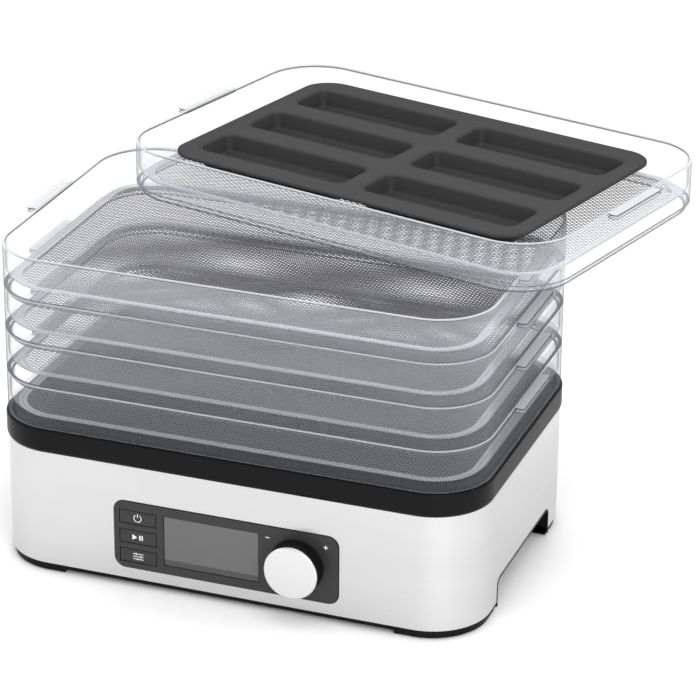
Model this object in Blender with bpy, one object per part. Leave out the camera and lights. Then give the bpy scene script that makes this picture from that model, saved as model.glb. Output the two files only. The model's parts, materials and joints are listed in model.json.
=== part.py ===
"""Food dehydrator with a steel-clad base, five clear stacking trays and a baking mould.

Run it with:  blender --background --python part.py

Units are metres and +Z is up. The front, with the control panel, faces -Y. The model is built
around the middle of the base and then moved, so that the origin is the bottom centre of its
bounding box. Four trays stand in the base and in one another. The fifth lies askew on the fourth,
with the mould standing in it.
"""

from math import cos, pi, radians, sin, tau

import bmesh
import bpy
from mathutils import Matrix, Vector

# Base
WIDTH = 0.345
DEPTH = 0.228
CORNER_RADIUS = 0.041
CORNER_STEPS = 5
FRONT = -DEPTH / 2
GAP = 0.0003
STEEL = 0.0008
STEEL_BOTTOM = 0.0067
STEEL_TOP = 0.0904
BASE_INSET = 0.0013
BASE_BOTTOM = 0.0033
FLOOR_TOP = 0.0058
BASE_LIP_TOP = 0.0120
DECK_TOP = 0.1012
BASE_TOP = 0.1070

# Feet and hand holds
FOOT_BOTTOM = 0.0008
FOOT_START_X = 0.119
HAND_HOLD_HALF = 0.058
HAND_HOLD_TOP = 0.0237
HAND_HOLD_DEPTH = 0.0173
HAND_HOLD_WALL = 0.0024

# Control panel
PANEL_Z = 0.0397
PANEL_WIDTH = 0.161
PANEL_HEIGHT = 0.0498
PANEL_CORNER = 0.0075
PANEL_PROUD = 0.0008
DISPLAY_X = -0.0100
DISPLAY_WIDTH = 0.0686
DISPLAY_HEIGHT = 0.0370
BUTTON_X = -0.0630
BUTTON_WIDTH = 0.0272
BUTTON_HEIGHT = 0.0104
BUTTON_ROWS = {"power": 0.0532, "start": 0.0388, "set": 0.0244}
KNOB_X = 0.0515
KNOB_RADIUS = 0.0188
KNOB_FACE = 0.0144
BOARD_Y = FRONT + 0.0097

# Air system
GRILLE_RADIUS = 0.0576
DUCT_RADIUS = 0.0580
DUCT_WALL = 0.0016
BLADES = 7

# Case screws and the posts they run into
POSTS = [(x, y) for x in (-0.130, 0.130) for y in (-0.075, 0.075)]

# Trays
TRAYS = 5
TRAY_INSET = 0.0003
TRAY_WALL = 0.0018
TRAY_HEIGHT = 0.0349
TRAY_STEP = 0.0046
TRAY_PITCH = TRAY_HEIGHT - TRAY_STEP + GAP
TRAY_FLOOR = 0.0099
FIRST_TRAY_Z = BASE_TOP + GAP - TRAY_STEP
TAB_LENGTH = 0.060
TAB_REACH = 0.0070
ASKEW_X = 0.058
ASKEW_Y = 0.0875
ASKEW_TURN = radians(-14.2)

# Mould
MOULD_SIZE = (0.284, 0.190)
MOULD_PLACE = (-0.009, 0.013)
MOULD_HEIGHT = 0.0135
MOULD_FLANGE = 0.0020
CUP_SIZE = (0.120, 0.036)
CUP_PITCH = (0.136, 0.0575)


# ---------------------------------------------------------------- materials


def material(name, colour, roughness, metallic=0.0):
    """Return a Principled material of one colour."""
    made = bpy.data.materials.new(name)
    made.use_nodes = True
    shader = made.node_tree.nodes["Principled BSDF"]
    shader.inputs["Base Color"].default_value = (*colour, 1.0)
    shader.inputs["Roughness"].default_value = roughness
    shader.inputs["Metallic"].default_value = metallic
    return made


def make_materials():
    """Return every finish of the appliance by name."""
    return {
        "brushed_steel": material("brushed_steel", (0.78, 0.78, 0.77), 0.30, 1.0),
        "black_plastic": material("black_plastic", (0.022, 0.022, 0.024), 0.38),
        "panel_plastic": material("panel_plastic", (0.045, 0.045, 0.047), 0.42),
        "display_glass": material("display_glass", (0.17, 0.17, 0.17), 0.12),
        "clear_plastic": material("clear_plastic", (0.86, 0.88, 0.90), 0.05),
        "silicone": material("silicone", (0.042, 0.042, 0.044), 0.62),
        "satin_chrome": material("satin_chrome", (0.80, 0.80, 0.80), 0.22, 1.0),
        "foot_rubber": material("foot_rubber", (0.03, 0.03, 0.03), 0.85),
        "zinc_steel": material("zinc_steel", (0.62, 0.62, 0.60), 0.35, 1.0),
        "circuit_board": material("circuit_board", (0.02, 0.16, 0.07), 0.45),
        "component_black": material("component_black", (0.03, 0.03, 0.035), 0.5),
        "heater_mica": material("heater_mica", (0.55, 0.50, 0.42), 0.7),
        "heater_wire": material("heater_wire", (0.45, 0.42, 0.40), 0.4, 1.0),
        "lead_insulation": material("lead_insulation", (0.35, 0.04, 0.03), 0.5),
        "white_nylon": material("white_nylon", (0.75, 0.74, 0.70), 0.5),
    }


# ---------------------------------------------------------------- shape tools


def new_object(name, mesh_builder, finish=None):
    """Turn a bmesh into a named object with its faces pointing out."""
    bmesh.ops.recalc_face_normals(mesh_builder, faces=mesh_builder.faces)
    mesh = bpy.data.meshes.new(name)
    mesh_builder.to_mesh(mesh)
    mesh_builder.free()
    made = bpy.data.objects.new(name, mesh)
    bpy.context.collection.objects.link(made)
    if finish:
        mesh.materials.append(finish)
    return made


def smooth(target, angle=32.0):
    """Shade a round piece smooth, and keep its edges sharp."""
    target.data.shade_smooth()
    target.data.set_sharp_from_angle(angle=radians(angle))
    return target


def rounded_rectangle(half_x, half_y, radius, steps=CORNER_STEPS):
    """Return the corner arcs of a rounded rectangle, anticlockwise from +X."""
    corners = (
        (half_x - radius, half_y - radius, 0.0),
        (radius - half_x, half_y - radius, 0.5 * pi),
        (radius - half_x, radius - half_y, pi),
        (half_x - radius, radius - half_y, 1.5 * pi),
    )
    points = []
    for x, y, start in corners:
        for step in range(steps + 1):
            angle = start + 0.5 * pi * step / steps
            points.append((x + radius * cos(angle), y + radius * sin(angle)))
    return points


def base_outline(offset=0.0):
    """Return the plan of the base, grown by an offset."""
    return rounded_rectangle(WIDTH / 2 + offset, DEPTH / 2 + offset, CORNER_RADIUS + offset)


def circle(radius, segments, x=0.0, y=0.0):
    """Return points round a circle."""
    return [
        (x + radius * cos(tau * step / segments), y + radius * sin(tau * step / segments))
        for step in range(segments)
    ]


def on_axis(axis, u, v, w):
    """Place a plane point (u, v) at w along an axis."""
    if axis == "Z":
        return (u, v, w)
    if axis == "Y":
        return (u, w, v)
    return (w, u, v)


def add_skin(builder, rings, axis="Z", loop=False):
    """Join rings of equal length by quads. Ends are capped, or joined when it is a loop."""
    rows = [[builder.verts.new(on_axis(axis, u, v, w)) for u, v in ring] for ring, w in rings]
    count = len(rows[0])
    pairs = list(zip(rows, rows[1:]))
    if loop:
        pairs.append((rows[-1], rows[0]))
    for low, high in pairs:
        for index in range(count):
            after = (index + 1) % count
            builder.faces.new((low[index], low[after], high[after], high[index]))
    if not loop:
        builder.faces.new(rows[0][::-1])
        builder.faces.new(rows[-1])


def skin(name, rings, finish=None, axis="Z", loop=False):
    """Return one closed body through a list of (ring, place along the axis)."""
    builder = bmesh.new()
    add_skin(builder, rings, axis, loop)
    return new_object(name, builder, finish)


def prism(name, outline, low, high, finish=None, axis="Z"):
    """Return an outline extruded along an axis."""
    return skin(name, [(outline, low), (outline, high)], finish, axis)


def prisms(name, outlines, low, high, axis="Z"):
    """Return several separate extrusions in one object, for use as a cutter."""
    builder = bmesh.new()
    for outline in outlines:
        add_skin(builder, [(outline, low), (outline, high)], axis)
    return new_object(name, builder)


def block(name, low, high, finish=None):
    """Return a box between two corners."""
    outline = [(low[0], low[1]), (high[0], low[1]), (high[0], high[1]), (low[0], high[1])]
    return prism(name, outline, low[2], high[2], finish)


def turned(name, profile, segments, finish=None, axis="Z", centre=(0.0, 0.0), loop=False):
    """Return a body of revolution through (radius, place along the axis) pairs."""
    rings = [(circle(radius, segments, *centre), place) for radius, place in profile]
    return smooth(skin(name, rings, finish, axis, loop))


def combine(target, other, operation):
    """Apply a Boolean to the target and remove the other object."""
    modifier = target.modifiers.new(operation.lower(), "BOOLEAN")
    modifier.operation = operation
    modifier.object = other
    bpy.context.view_layer.update()
    graph = bpy.context.evaluated_depsgraph_get()
    mesh = bpy.data.meshes.new_from_object(target.evaluated_get(graph))
    target.modifiers.clear()
    target.data = mesh
    bpy.data.objects.remove(other)
    return target


def carve(target, cutter):
    """Cut one object from another."""
    return combine(target, cutter, "DIFFERENCE")


def join(target, other):
    """Unite two bodies that meet."""
    return combine(target, other, "UNION")


def wire(name, points, radius, finish):
    """Return a round lead along straight runs between points."""
    curve = bpy.data.curves.new(name, "CURVE")
    curve.dimensions = "3D"
    curve.bevel_depth = radius
    curve.bevel_resolution = 1
    curve.use_fill_caps = True
    spline = curve.splines.new("POLY")
    spline.points.add(len(points) - 1)
    for point, place in zip(spline.points, points):
        point.co = (*place, 1.0)
    curve.materials.append(finish)
    made = bpy.data.objects.new(name, curve)
    bpy.context.collection.objects.link(made)
    return made


# ---------------------------------------------------------------- base shell


def hand_hold_outline(grow=0.0):
    """Return the raised arch of a hand hold in the (y, z) plane, open at the bottom."""
    half = HAND_HOLD_HALF + grow
    top = HAND_HOLD_TOP + grow
    slope = 0.0075
    return [
        (-half, -0.005),
        (half, -0.005),
        (half, top - 0.6 * slope),
        (half - slope, top),
        (slope - half, top),
        (-half, top - 0.6 * slope),
    ]


def make_steel_sleeve(finishes):
    """The wrapper: a thin rounded tube with the panel cut-out, two arches and the cord hole."""
    outer = base_outline()
    inner = base_outline(-STEEL)
    rings = [(outer, STEEL_BOTTOM), (outer, STEEL_TOP), (inner, STEEL_TOP), (inner, STEEL_BOTTOM)]
    sleeve = skin("steel_sleeve", rings, finishes["brushed_steel"], loop=True)
    carve(sleeve, prism("arches", hand_hold_outline(), -WIDTH, WIDTH, axis="X"))
    opening = [
        (x, z + PANEL_Z)
        for x, z in rounded_rectangle(
            PANEL_WIDTH / 2 + GAP, PANEL_HEIGHT / 2 + GAP, PANEL_CORNER + GAP
        )
    ]
    carve(sleeve, prism("panel_opening", opening, FRONT - 0.01, FRONT + 0.01, axis="Y"))
    carve(sleeve, prism("cord_hole", circle(0.0065, 16, 0.110, 0.030), -FRONT - 0.01, -FRONT + 0.01,
                        axis="Y"))
    return smooth(sleeve)


def foot_outline(side_x, side_y):
    """Return the plan of one corner foot, which follows the corner of the base."""
    half_x = WIDTH / 2 - BASE_INSET - 0.0004
    half_y = DEPTH / 2 - BASE_INSET - 0.0004
    radius = CORNER_RADIUS - BASE_INSET
    inner = 0.017
    points = [(FOOT_START_X, half_y)]
    for step in range(CORNER_STEPS + 1):
        angle = 0.5 * pi * (1 - step / CORNER_STEPS)
        points.append((half_x - radius + radius * cos(angle), half_y - radius + radius * sin(angle)))
    points.append((half_x, HAND_HOLD_HALF + 0.0008))
    points.append((half_x - inner, HAND_HOLD_HALF + 0.0008))
    points.append((half_x - inner, half_y - radius))
    points.append((half_x - radius, half_y - inner))
    points.append((FOOT_START_X, half_y - inner))
    return [(side_x * x, side_y * y) for x, y in points]


def foot_places():
    """Return the centre of each foot pad."""
    return [(x, y) for x in (-0.153, 0.153) for y in (-0.0945, 0.0945)]


def make_chassis(finishes):
    """The black base: floor, lip, hand-hold recesses, corner feet, air slots and screw holes."""
    outer = base_outline(-BASE_INSET)
    chassis = prism("lower_chassis", outer, BASE_BOTTOM, BASE_LIP_TOP, finishes["black_plastic"])
    carve(chassis, prism("hollow", base_outline(-BASE_INSET - 0.0022), FLOOR_TOP, 0.02))
    edge = WIDTH / 2 - BASE_INSET
    wall = HAND_HOLD_WALL
    for side in (-1, 1):
        near, far = sorted((side * (edge - HAND_HOLD_DEPTH - wall), side * (edge - 0.0005)))
        liner = hand_hold_outline(wall)
        liner[0] = (liner[0][0], BASE_BOTTOM + 0.0004)
        liner[1] = (liner[1][0], BASE_BOTTOM + 0.0004)
        join(chassis, prism("liner", liner, near, far, axis="X"))
    for side in (-1, 1):
        near, far = sorted((side * (edge - HAND_HOLD_DEPTH), side * (edge + 0.01)))
        carve(chassis, prism("recess", hand_hold_outline(), near, far, axis="X"))
    for side_x in (-1, 1):
        for side_y in (-1, 1):
            outline = foot_outline(side_x, side_y)
            join(chassis, prism("foot", outline, FOOT_BOTTOM, BASE_BOTTOM + 0.0010))
    carve(chassis, prisms("pad_recesses", [circle(0.0064, 12, x, y) for x, y in foot_places()],
                          -0.001, 0.0022))
    slots = [
        [(x - 0.0022, -0.034), (x + 0.0022, -0.034), (x + 0.0022, 0.034), (x - 0.0022, 0.034)]
        for x in (0.0105 * step for step in range(-4, 5))
    ]
    carve(chassis, prisms("air_slots", slots, 0.0, 0.008))
    for x, y in BOARD_STANDOFFS:
        join(chassis, prism("standoff", circle(0.0032, 10, x, y), FLOOR_TOP - 0.0004, 0.0117))
    holes = [circle(0.0020, 10, x, y) for x, y in POSTS]
    carve(chassis, prisms("screw_holes", holes, 0.0, 0.008))
    carve(chassis, prisms("pilot_holes", [circle(0.0013, 8, x, y) for x, y in BOARD_STANDOFFS],
                          0.0070, 0.02))
    return chassis


def make_foot_pads(finishes):
    """Four rubber discs in the recesses of the feet."""
    for index, (x, y) in enumerate(foot_places(), 1):
        turned(f"foot_pad_{index}", [(0.0056, 0.0), (0.0060, 0.0004), (0.0060, 0.0018)], 12,
               finishes["foot_rubber"], centre=(x, y))


def make_top_cover(finishes):
    """The black band and deck, with the rim that the first tray stands in and its screw posts."""
    rings = [
        (base_outline(-0.0034), 0.0988),
        (base_outline(-0.0034), 0.0780),
        (base_outline(-0.0013), 0.0780),
        (base_outline(-0.0013), STEEL_TOP + GAP),
        (base_outline(0.0), STEEL_TOP + GAP),
        (base_outline(0.0009), 0.0922),
        (base_outline(0.0009), BASE_TOP - 0.0010),
        (base_outline(0.0002), BASE_TOP),
        (base_outline(-TRAY_WALL), BASE_TOP),
        (base_outline(-TRAY_WALL), DECK_TOP + 0.0010),
        (base_outline(-0.0034), DECK_TOP),
    ]
    cover = skin("top_cover", rings, finishes["black_plastic"])
    join(cover, prism("grille_seat", circle(0.0620, 40), 0.0955, 0.0996))
    steps = [(0.0550, 0.090), (0.0550, 0.0981), (GRILLE_RADIUS + 0.0004, 0.0981),
             (GRILLE_RADIUS + 0.0004, 0.110)]
    carve(cover, skin("grille_hole", [(circle(radius, 40), z) for radius, z in steps]))
    for x, y in POSTS:
        join(cover, prism("post", circle(0.0042, 10, x, y), 0.0064, 0.0996))
    carve(cover, prisms("post_holes", [circle(0.0019, 8, x, y) for x, y in POSTS], 0.0, 0.0240))
    return smooth(cover)


def make_grille(finishes):
    """The round air outlet in the deck: a disc with two rings of slots."""
    grille = prism("air_outlet_grille", circle(GRILLE_RADIUS, 40), 0.0984, DECK_TOP - 0.0003,
                   finishes["black_plastic"])
    slots = []
    for near, far, count, half_width in ((0.014, 0.031, 10, 0.0022), (0.035, 0.053, 20, 0.0026)):
        for index in range(count):
            turn = Matrix.Rotation(tau * index / count, 2)
            corners = ((near, -half_width), (far, -half_width), (far, half_width), (near, half_width))
            slots.append([tuple(turn @ Vector(corner)) for corner in corners])
    return carve(grille, prisms("grille_slots", slots, 0.09, 0.11))


# ---------------------------------------------------------------- air system


def make_motor(finishes):
    """The motor under its bracket, and the shaft that carries the impeller."""
    motor = turned("motor_body", [(0.0170, 0.0100), (0.0205, 0.0125), (0.0205, 0.0335),
                                  (0.0190, 0.0357)], 20, finishes["zinc_steel"])
    carve(motor, prism("shaft_hole", circle(0.0020, 10), 0.0280, 0.04))
    holes = [circle(0.0012, 8, x, 0.0) for x in (-0.0135, 0.0135)]
    carve(motor, prisms("screw_holes", holes, 0.0300, 0.04))
    turned("motor_shaft", [(0.0016, 0.0285), (0.0016, 0.0560)], 10, finishes["zinc_steel"])


def make_motor_bracket(finishes):
    """A hub plate on four arms, an outer ring that carries the duct, and four legs."""
    bracket = prism("motor_bracket", circle(0.0225, 20), 0.0360, 0.0385, finishes["zinc_steel"])
    for half_x, half_y in ((0.0560, 0.0040), (0.0040, 0.0560)):
        join(bracket, block("arm", (-half_x, -half_y, 0.0362), (half_x, half_y, 0.0383)))
    ring = [(circle(0.0540, 32), 0.0360), (circle(0.0602, 32), 0.0360),
            (circle(0.0602, 32), 0.0395), (circle(0.0540, 32), 0.0395)]
    join(bracket, skin("ring", ring, loop=True))
    for index in range(4):
        angle = radians(45 + 90 * index)
        centre = (0.0571 * cos(angle), 0.0571 * sin(angle))
        join(bracket, prism("leg", circle(0.0030, 8, *centre), FLOOR_TOP + GAP, 0.0370))
    carve(bracket, prism("shaft_hole", circle(0.0040, 12), 0.03, 0.05))
    holes = [circle(0.0016, 8, x, 0.0) for x in (-0.0135, 0.0135)]
    return carve(bracket, prisms("screw_holes", holes, 0.03, 0.05))


def make_impeller(finishes):
    """The axial fan: a hub with twisted blades, bored for the shaft."""
    impeller = prism("fan_impeller", circle(0.0130, 21), 0.0430, 0.0580, finishes["black_plastic"])
    sections = ((0.0115, 0.0090, 38.0), (0.0300, 0.0115, 27.0), (0.0500, 0.0140, 20.0))
    for blade in range(BLADES):
        rings = []
        for radius, half_chord, pitch in sections:
            slope = Vector((cos(radians(pitch)), sin(radians(pitch))))
            normal = Vector((-slope.y, slope.x)) * 0.0009
            corners = (-half_chord * slope - normal, half_chord * slope - normal,
                       half_chord * slope + normal, normal - half_chord * slope)
            rings.append(([(corner.x, corner.y + 0.0503) for corner in corners], radius))
        solid = skin("blade", rings, axis="X")
        solid.data.transform(Matrix.Rotation(tau * blade / BLADES, 4, "Z"))
        join(impeller, solid)
    return carve(impeller, prism("bore", circle(0.0019, 10), 0.04, 0.0563))


def make_heater(finishes):
    """Crossed mica plates with a spiral winding on top, its cut-out and the outlet sensor."""
    reach = DUCT_RADIUS - 0.0004
    frame = block("heater_frame", (-reach, -0.0007, 0.0640), (reach, 0.0007, 0.0780),
                  finishes["heater_mica"])
    join(frame, block("cross_plate", (-0.0007, -reach, 0.0641), (0.0007, reach, 0.0779)))
    turns = 3
    steps = 18
    path = []
    for step in range(turns * steps + 1):
        radius = 0.018 + 0.032 * step / (turns * steps)
        angle = tau * step / steps
        path.append((radius * cos(angle), radius * sin(angle), 0.0795))
    wire("heater_winding", path, 0.0012, finishes["heater_wire"])
    turned("thermal_fuse", [(0.0014, 0.024), (0.0022, 0.025), (0.0022, 0.035), (0.0014, 0.036)], 8,
           finishes["zinc_steel"], axis="X", centre=(0.0033, 0.0700))
    turned("temperature_sensor", [(0.0014, 0.0440), (0.0020, 0.0450), (0.0020, 0.0576)], 8,
           finishes["white_nylon"], axis="X", centre=(0.0, 0.0885))


def make_air_duct(finishes):
    """The tube from the fan to the grille, with a hole for the heater's lead."""
    inner = circle(DUCT_RADIUS, 36)
    outer = circle(DUCT_RADIUS + DUCT_WALL, 36)
    duct = skin("air_duct", [(outer, 0.0398), (outer, 0.0951), (inner, 0.0951), (inner, 0.0398)],
                finishes["zinc_steel"], loop=True)
    carve(duct, prism("lead_hole", circle(0.0024, 8, 0.0, 0.0795), 0.05, 0.07, axis="X"))
    return smooth(duct)


# ---------------------------------------------------------------- electronics

BOARD_STANDOFFS = [(0.074, -0.042), (0.118, -0.042), (0.074, 0.042), (0.118, 0.042)]


def make_power_board(finishes):
    """The mains board on its standoffs, with a relay, transformer and terminal block."""
    board = block("power_board", (0.0700, -0.0470, 0.0120), (0.1220, 0.0470, 0.0136),
                  finishes["circuit_board"])
    carve(board, prisms("board_holes", [circle(0.0018, 8, x, y) for x, y in BOARD_STANDOFFS],
                        0.01, 0.02))
    block("mains_relay", (0.0790, -0.0340, 0.0139), (0.0980, -0.0190, 0.0300),
          finishes["component_black"])
    block("transformer", (0.0840, -0.0130, 0.0139), (0.1130, 0.0130, 0.0370),
          finishes["component_black"])
    block("terminal_block", (0.0960, 0.0220, 0.0139), (0.1200, 0.0360, 0.0250),
          finishes["white_nylon"])


def make_control_board(finishes):
    """The board behind the panel, with the display module, three switches and the encoder."""
    board = block("control_board", (-0.0780, BOARD_Y, 0.0135), (0.0780, BOARD_Y + 0.0016, 0.0655),
                  finishes["circuit_board"])
    holes = [circle(0.0018, 8, x, z) for x, z in PANEL_PEGS]
    carve(board, prisms("board_holes", holes, BOARD_Y - 0.01, BOARD_Y + 0.01, axis="Y"))
    half = DISPLAY_WIDTH / 2 - 0.0010
    block("display_module", (DISPLAY_X - half, FRONT + 0.0014, PANEL_Z - 0.0170),
          (DISPLAY_X + half, BOARD_Y - GAP, PANEL_Z + 0.0170), finishes["component_black"])
    for name, z in BUTTON_ROWS.items():
        switch = block(f"switch_{name}", (BUTTON_X - 0.0030, BOARD_Y - 0.0026, z - 0.0030),
                       (BUTTON_X + 0.0030, BOARD_Y - GAP, z + 0.0030), finishes["component_black"])
        join(switch, prism("stem", circle(0.0015, 8, BUTTON_X, z), BOARD_Y - 0.0034,
                           BOARD_Y - 0.0020, axis="Y"))
    block("rotary_encoder", (KNOB_X - 0.0060, BOARD_Y - 0.0058, PANEL_Z - 0.0060),
          (KNOB_X + 0.0060, BOARD_Y - GAP, PANEL_Z + 0.0060), finishes["zinc_steel"])


def make_leads(finishes):
    """The cord gland at the back, and the leads inside."""
    gland = [(0.0090, -FRONT + 0.0003), (0.0090, -FRONT + 0.0030), (0.0070, -FRONT + 0.0080),
             (0.0036, -FRONT + 0.0080), (0.0036, -FRONT - 0.0080), (0.0060, -FRONT - 0.0080),
             (0.0060, -FRONT + 0.0003)]
    turned("cord_gland", gland, 16, finishes["black_plastic"], axis="Y", centre=(0.110, 0.030),
           loop=True)
    wire("inner_mains_lead", [(0.110, -FRONT - 0.001, 0.030), (0.110, 0.080, 0.030),
                              (0.110, 0.050, 0.022), (0.110, 0.0375, 0.020)], 0.0024,
         finishes["component_black"])
    wire("heater_lead", [(0.0520, 0.0, 0.0795), (0.0700, 0.0, 0.0795), (0.0800, 0.010, 0.0700),
                         (0.1000, 0.026, 0.0400), (0.1000, 0.028, 0.0270)], 0.0012,
         finishes["lead_insulation"])
    path = [(0.0860, -0.0440), (0.0860, -0.0800), (0.0640, -0.1023), (0.0626, -0.1023),
            (0.0850, -0.0796), (0.0850, -0.0440)]
    prism("ribbon_cable", path, 0.0140, 0.0260, finishes["component_black"])


# ---------------------------------------------------------------- control panel

PANEL_PEGS = [(x, z) for x in (-0.0735, 0.0735) for z in (0.0168, 0.0618)]


def panel_outline(width, height, radius, x=0.0, z=PANEL_Z, steps=3):
    """Return a rounded rectangle on the front face."""
    return [(x + u, z + v) for u, v in rounded_rectangle(width / 2, height / 2, radius, steps)]


def make_panel(finishes):
    """The panel bezel with its openings, the display window and the three buttons."""
    face = FRONT - PANEL_PROUD
    bezel = prism("panel_bezel", panel_outline(PANEL_WIDTH, PANEL_HEIGHT, PANEL_CORNER, steps=5),
                  face, FRONT + 0.0020, finishes["panel_plastic"], axis="Y")
    join(bezel, prism("flange", panel_outline(PANEL_WIDTH + 0.003, PANEL_HEIGHT + 0.003, 0.009,
                                              steps=5), FRONT + 0.0012, FRONT + 0.0031, axis="Y"))
    for x, z in PANEL_PEGS:
        join(bezel, prism("peg", circle(0.0020, 8, x, z), FRONT + 0.0025, BOARD_Y - GAP, axis="Y"))
    openings = [panel_outline(DISPLAY_WIDTH, DISPLAY_HEIGHT, 0.0006, DISPLAY_X)]
    for z in BUTTON_ROWS.values():
        openings.append(panel_outline(BUTTON_WIDTH, BUTTON_HEIGHT, 0.0006, BUTTON_X, z))
    openings.append(circle(0.0040, 12, KNOB_X, PANEL_Z))
    carve(bezel, prisms("openings", openings, FRONT - 0.01, FRONT + 0.008, axis="Y"))
    pilots = [circle(0.0012, 8, x, z) for x, z in PANEL_PEGS]
    carve(bezel, prisms("pilot_holes", pilots, FRONT + 0.0036, FRONT + 0.02, axis="Y"))
    prism("display_window", panel_outline(DISPLAY_WIDTH - 0.0007, DISPLAY_HEIGHT - 0.0007, 0.0006,
                                          DISPLAY_X), face + 0.0002, FRONT + 0.0010,
          finishes["display_glass"], axis="Y")
    for name, z in BUTTON_ROWS.items():
        cap = prism(f"button_{name}", panel_outline(BUTTON_WIDTH - 0.0008, BUTTON_HEIGHT - 0.0008,
                                                    0.0006, BUTTON_X, z), face - 0.0001,
                    FRONT + 0.0040, finishes["panel_plastic"], axis="Y")
        join(cap, prism("plunger", circle(0.0020, 8, BUTTON_X, z), FRONT + 0.0035,
                        BOARD_Y - 0.0047, axis="Y"))


def make_knob(finishes):
    """The knob: a dark body on the encoder's shaft, and a satin metal cap on its face."""
    turned("encoder_shaft", [(0.0028, FRONT - 0.0095), (0.0028, BOARD_Y - 0.0062)], 12,
           finishes["zinc_steel"], axis="Y", centre=(KNOB_X, PANEL_Z))
    rear = FRONT - PANEL_PROUD - 0.0005
    front = FRONT - KNOB_FACE
    body = turned("knob_body", [(KNOB_RADIUS - 0.0003, rear), (KNOB_RADIUS, rear - 0.0004),
                                (KNOB_RADIUS, front + 0.0024), (KNOB_RADIUS - 0.0012, front + 0.0024),
                                (KNOB_RADIUS - 0.0012, front + 0.0016)], 32,
                  finishes["panel_plastic"], axis="Y", centre=(KNOB_X, PANEL_Z))
    carve(body, prism("bore", circle(0.0031, 12, KNOB_X, PANEL_Z), FRONT - 0.0098, FRONT, axis="Y"))
    cap = [(KNOB_RADIUS - 0.0009, front + 0.0021), (KNOB_RADIUS, front + 0.0021),
           (KNOB_RADIUS, front + 0.0005), (KNOB_RADIUS - 0.0006, front), (0.0, front),
           (0.0, front + 0.0013), (KNOB_RADIUS - 0.0009, front + 0.0013)]
    builder = bmesh.new()
    profile = [builder.verts.new((KNOB_X + radius, y, PANEL_Z)) for radius, y in cap]
    edges = [builder.edges.new(pair) for pair in zip(profile, profile[1:] + profile[:1])
             if not all(vert.co.x < KNOB_X + 1e-6 for vert in pair)]
    bmesh.ops.spin(builder, geom=profile + edges, cent=(KNOB_X, 0.0, PANEL_Z), axis=(0, 1, 0),
                   angle=tau, steps=32, use_merge=True)
    bmesh.ops.remove_doubles(builder, verts=builder.verts, dist=1e-6)
    smooth(new_object("knob_cap", builder, finishes["satin_chrome"]))


# ---------------------------------------------------------------- trays and mould


def make_tray_mesh():
    """Return the mesh of one tray, with its own bottom at z = 0 and its middle at x = y = 0."""
    skirt = -TRAY_WALL - 0.0008
    profile = [
        (skirt - TRAY_WALL, TRAY_FLOOR - 0.0016),
        (skirt - TRAY_WALL, 0.0),
        (skirt, 0.0),
        (skirt, TRAY_STEP),
        (0.0, TRAY_STEP),
        (0.0, TRAY_HEIGHT),
        (-TRAY_WALL, TRAY_HEIGHT),
        (-TRAY_WALL, TRAY_FLOOR + 0.0036),
        (-0.0062, TRAY_FLOOR),
    ]
    tray = skin("tray", [(base_outline(offset - TRAY_INSET), z) for offset, z in profile])
    edge = WIDTH / 2 - TRAY_INSET
    for side in (-1, 1):
        near, far = sorted((side * (edge - 0.0009), side * (edge + TAB_REACH)))
        half = TAB_LENGTH / 2
        outline = [(near, -half), (far, -half), (far, half), (near, half)]
        join(tray, prism("tab", outline, TRAY_HEIGHT - 0.0033, TRAY_HEIGHT - 0.0002))
        near, far = sorted((side * (edge - TRAY_WALL - 0.0040), side * (edge - 0.0009)))
        outline = [(near, -half), (far, -half), (far, half), (near, half)]
        join(tray, prism("ledge", outline, TRAY_HEIGHT - 0.0082, TRAY_HEIGHT - 0.0053))
    slots = []
    for column in range(-4, 5):
        for row in (-1, 1):
            x, y = 0.034 * column, 0.046 * row
            slots.append([(x - 0.010, y - 0.040), (x + 0.010, y - 0.040), (x + 0.010, y + 0.040),
                          (x - 0.010, y + 0.040)])
    carve(tray, prisms("slots", slots, 0.004, 0.02))
    mesh = tray.data
    bpy.data.objects.remove(tray)
    return mesh


def tray_place(number):
    """Return the place matrix of a tray: stacked, or askew on top for the last."""
    if number < TRAYS:
        return Matrix.Translation((0.0, 0.0, FIRST_TRAY_Z + (number - 1) * TRAY_PITCH))
    top = FIRST_TRAY_Z + (TRAYS - 2) * TRAY_PITCH + TRAY_HEIGHT + GAP
    return Matrix.Translation((ASKEW_X, ASKEW_Y, top)) @ Matrix.Rotation(ASKEW_TURN, 4, "Z")


def make_trays(finishes):
    """Five equal trays, which share one mesh."""
    mesh = make_tray_mesh()
    mesh.materials.clear()
    mesh.materials.append(finishes["clear_plastic"])
    for number in range(1, TRAYS + 1):
        tray = bpy.data.objects.new(f"tray_{number}", mesh)
        bpy.context.collection.objects.link(tray)
        tray.matrix_world = tray_place(number)


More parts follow.
